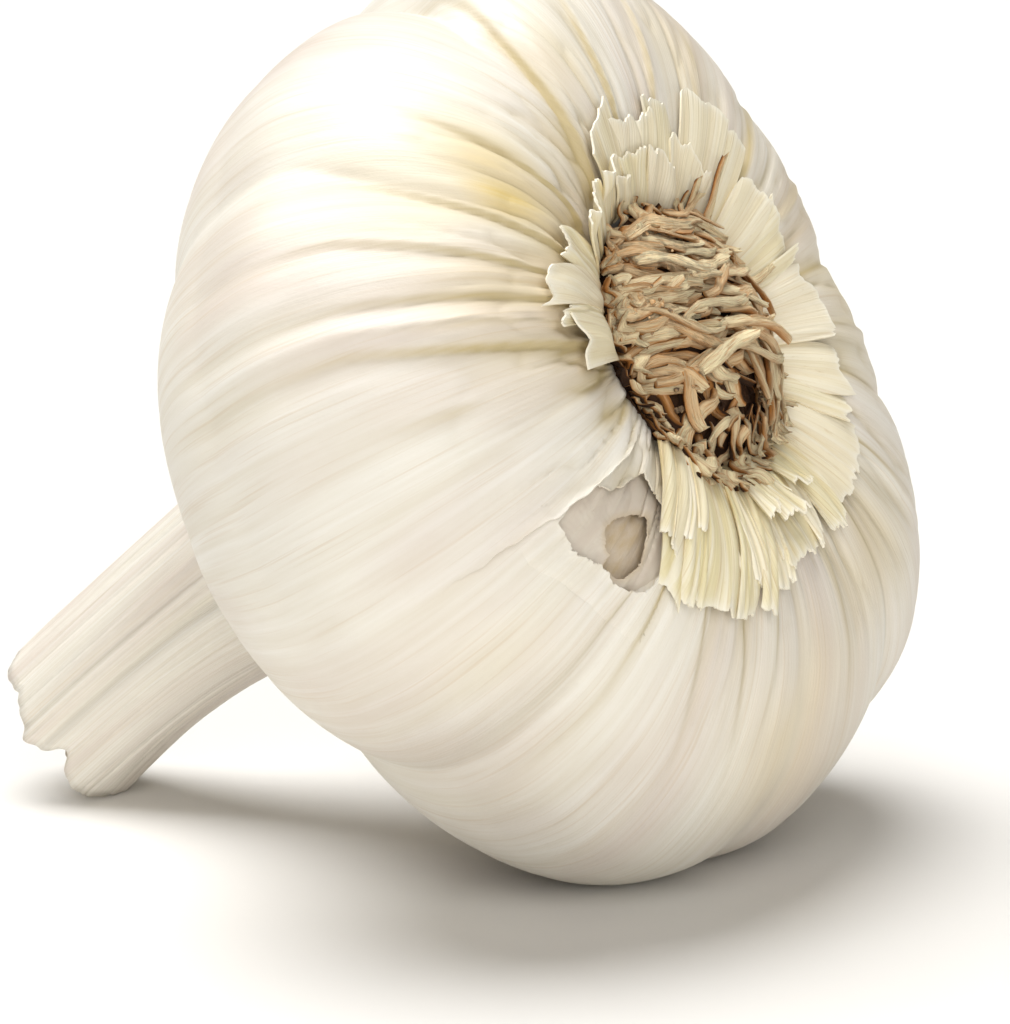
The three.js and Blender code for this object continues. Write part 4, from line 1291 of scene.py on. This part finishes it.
class GARLIC_OT_roots(bpy.types.Operator):
    """Build the root plate and its mat of dried roots"""

    bl_idname = "garlic.roots"
    bl_label = "Build Roots"

    def execute(self, context):
        settings = context.scene.garlic_roots
        pieces = [self.plate()]
        rng = np.random.default_rng(5)
        model = close_seams(grid_sheet("strand", strand_rest_points()))
        for root in chain(combed_roots(settings.strands, rng), fringe_roots(rng), stray_roots()):
            pieces.append(self.strand(model, rng, settings.width / MM, *root))
        bpy.data.objects.remove(model)
        pieces.extend(self.crumbs(rng))
        roots = smooth(join(pieces, "dried_roots"), ROOT_SMOOTH)
        dress(roots, root_material("dried_garlic_roots", settings), "root", "root_plate")
        return {"FINISHED"}

    def strand(self, model, rng, usual_width, start, heading, length, height, rise, curl, tone):
        """Copies the straight strand and shapes the copy."""
        piece = model.copy()
        piece.data = model.data.copy()
        bpy.context.collection.objects.link(piece)
        rest = vertices_of(model)
        width = usual_width * rng.uniform(0.55, 1.15)
        thick = width * rng.uniform(0.45, 0.65)
        shape_strand(piece, rest, start, heading, length, width, thick, height, rng, rise, curl)
        s, up = rest[:, 0], rest[:, 2]
        # the strand's own tone, paler at its torn end, with painted light: lighter on its upper side
        tone_and_top_light = 0.8 * tone - 0.04 + 0.4 * smoothstep(s, 0.8, 1.0) + 0.45 * up
        # painted shade: darker for lower strands, at their sunk starts and on their undersides
        deep = 0.98 - height + 0.3 * (1 - smoothstep(s, 0.0, 0.25)) - 0.7 * up
        soiled = SOILED_ALL_OVER
        for x, y, reach, strength in SOILED:
            soiled += strength * np.exp(-((start[0] - x) ** 2 + (start[1] - y) ** 2) / reach ** 2)
        grain = np.stack([rest[:, 1] * 1.2 + rng.uniform(0, 40), up * 1.2, s * length], axis=-1)
        set_values(piece, {"Tone": np.clip(tone_and_top_light, 0, 1), "DepthShade": np.clip(deep, 0, 0.98),
                           "Dirt": np.full(len(s), min(soiled, 1.0)), "Grain": grain})
        return piece

    def crumbs(self, rng):
        """Crumbs of soil caught between the roots."""
        pieces = []
        for _ in range(CRUMBS):
            x, y, reach, _strength = SOILED[int(rng.integers(len(SOILED)))]
            x, y = x + rng.normal(0, reach / 2), y + rng.normal(0, reach / 2)
            if np.hypot(x, y) > PLATE_RADIUS:
                continue
            bpy.ops.mesh.primitive_ico_sphere_add(subdivisions=1, radius=1)
            crumb = bpy.context.object
            ball = vertices_of(crumb)
            number = len(ball)
            shape = ball * rng.uniform(0.6, 1.3, (number, 3)) * rng.uniform(0.1, 0.28)
            points = shape + np.array([x, y, bed_height(x, y) - rng.uniform(0.6, 1.6)])
            points = points + root_shift(points)
            move_vertices(crumb, to_row(points))
            set_values(crumb, {"Tone": np.full(number, 0.5), "DepthShade": np.zeros(number),
                               "Dirt": np.ones(number), "Grain": points})
            pieces.append(crumb)
        return pieces

    def plate(self):
        """The plate under the roots: a closed cushion sunk in the dish of the skin, painted near black
        as the shade in the gaps between the roots.
        """
        angle = np.linspace(0, 2 * np.pi, PLATE_COLUMNS + 1)[None, :]
        shares = np.linspace(0, 1, PLATE_ROWS)[:, None]
        reach = mat_reach(np.degrees(angle))
        x, y = reach * shares * np.cos(angle), reach * shares * np.sin(angle)
        rough = PLATE_ROUGHNESS * lattice_noise((x + 20) * 0.9, (y + 20) * 0.9, (64, 64), 61)
        height = bed_height(x, y) - PLATE_SINK + rough * (1 - shares ** 4)
        rings = [np.stack([x, y, height], axis=-1)]
        for share, depth in PLATE_RINGS:
            rings.append(np.stack([reach * share * np.cos(angle), reach * share * np.sin(angle),
                                   depth + 0 * angle], axis=-1))
        points = np.concatenate(rings)
        points = points + root_shift(points)
        everywhere = np.ones(points.shape[:2])
        # the plate takes the painted shade of the gaps between the roots
        values = {"Tone": 0 * everywhere, "DepthShade": 0.95 * everywhere, "Dirt": 0.3 * everywhere,
                  "Grain": points}
        return close_seams(grid_sheet("root_cushion", to_row(points), values))


# ---------------------------------------------------------------- stage

# where the soft lights come from: to the camera's right, towards the camera, up; and their softness
LIGHTS = {"overhead_light": ((-0.22, -0.24, 0.945), 50.0), "front_light": ((0.14, 0.9, 0.41), 60.0)}
LIGHT_DISTANCE = 0.4
FLOOR_SIZE = 12
# the belly's middle, along the stem from the root plate, and how far the view is aimed off it
BELLY_AT, AIM_LEFT, AIM_DOWN = 18, 1.2, 6.06
FARTHEST_SEEN = 50


class GARLIC_OT_stage(bpy.types.Operator):
    """Set the floor, the soft lights and the camera"""

    bl_idname = "garlic.stage"
    bl_label = "Build Stage"

    def execute(self, context):
        settings = context.scene.garlic_stage
        deselect_all()
        bpy.ops.mesh.primitive_plane_add(size=FLOOR_SIZE)
        floor = context.object
        floor.name = "floor"
        graph = Graph("white_floor")
        floor.data.materials.append(graph.finish((*settings.floor, 1.0), 0.5, Specular_IOR_Level=0.3))
        world = bpy.data.worlds.new("white_surroundings")
        context.scene.world = world
        world.use_nodes = True
        background = world.node_tree.nodes["Background"]
        background.inputs["Color"].default_value = (*settings.surroundings, 1)
        background.inputs["Strength"].default_value = settings.fill
        context.scene.view_settings.view_transform = "Standard"

        azimuth, elevation = np.radians(settings.azimuth), np.radians(settings.elevation)
        back = Vector((np.sin(azimuth) * np.cos(elevation), -np.cos(azimuth) * np.cos(elevation),
                       np.sin(elevation)))
        t = np.radians(TILT)
        belly = Vector((ROOT_AT + BELLY_AT * np.array([-np.cos(t), 0, -np.sin(t)])) * MM)
        right = Vector((np.cos(azimuth), np.sin(azimuth), 0))
        up = back.cross(right)
        target = belly - right * AIM_LEFT * MM - up * AIM_DOWN * MM
        level = Vector((back.x, back.y, 0)).normalized()
        strengths = {"overhead_light": settings.overhead, "front_light": settings.front}
        for name, (way, softness) in LIGHTS.items():
            light_from = right * way[0] + level * way[1] + Vector((0, 0, way[2]))
            bpy.ops.object.light_add(type="SUN", location=light_from * LIGHT_DISTANCE)
            light = context.object
            light.name = name
            light.data.energy = strengths[name]
            light.data.angle = float(np.radians(softness))
            light.rotation_euler = (-light_from).to_track_quat("-Z", "Y").to_euler()
        bpy.ops.object.camera_add(location=target + back * settings.distance)
        camera = context.object
        camera.rotation_euler = (-back).to_track_quat("-Z", "Y").to_euler()
        camera.data.lens = settings.lens
        camera.data.clip_end = FARTHEST_SEEN
        context.scene.camera = camera
        return {"FINISHED"}


class GARLIC_PT_panel(bpy.types.Panel):
    """Lists the steps that build the garlic"""

    bl_idname = "GARLIC_PT_panel"
    bl_label = "Garlic Bulb"
    bl_space_type = "VIEW_3D"
    bl_region_type = "UI"
    bl_category = "Garlic"

    def draw(self, context):
        for operator in OPERATORS:
            self.layout.operator(operator.bl_idname)


OPERATORS = (GARLIC_OT_bulb, GARLIC_OT_torn_window, GARLIC_OT_torn_skin, GARLIC_OT_roots,
             GARLIC_OT_stage)
SETTINGS = {"garlic_skin": GarlicSkinSettings, "garlic_flaps": GarlicFlapSettings,
            "garlic_roots": GarlicRootSettings, "garlic_stage": GarlicStageSettings}


def register():
    """Makes the settings, the operators and the panel known to Blender."""
    for label, group in SETTINGS.items():
        bpy.utils.register_class(group)
        setattr(bpy.types.Scene, label, PointerProperty(type=group))
    for operator in OPERATORS:
        bpy.utils.register_class(operator)
    bpy.utils.register_class(GARLIC_PT_panel)


def unregister():
    """Takes them out again."""
    bpy.utils.unregister_class(GARLIC_PT_panel)
    for operator in reversed(OPERATORS):
        bpy.utils.unregister_class(operator)
    for label, group in SETTINGS.items():
        delattr(bpy.types.Scene, label)
        bpy.utils.unregister_class(group)


def main():
    """Builds every piece."""
    register()
    bpy.ops.garlic.bulb()
    bpy.ops.garlic.torn_window()
    bpy.ops.garlic.torn_skin()
    bpy.ops.garlic.roots()
    bpy.ops.garlic.stage()


if __name__ == "__main__":
    main()
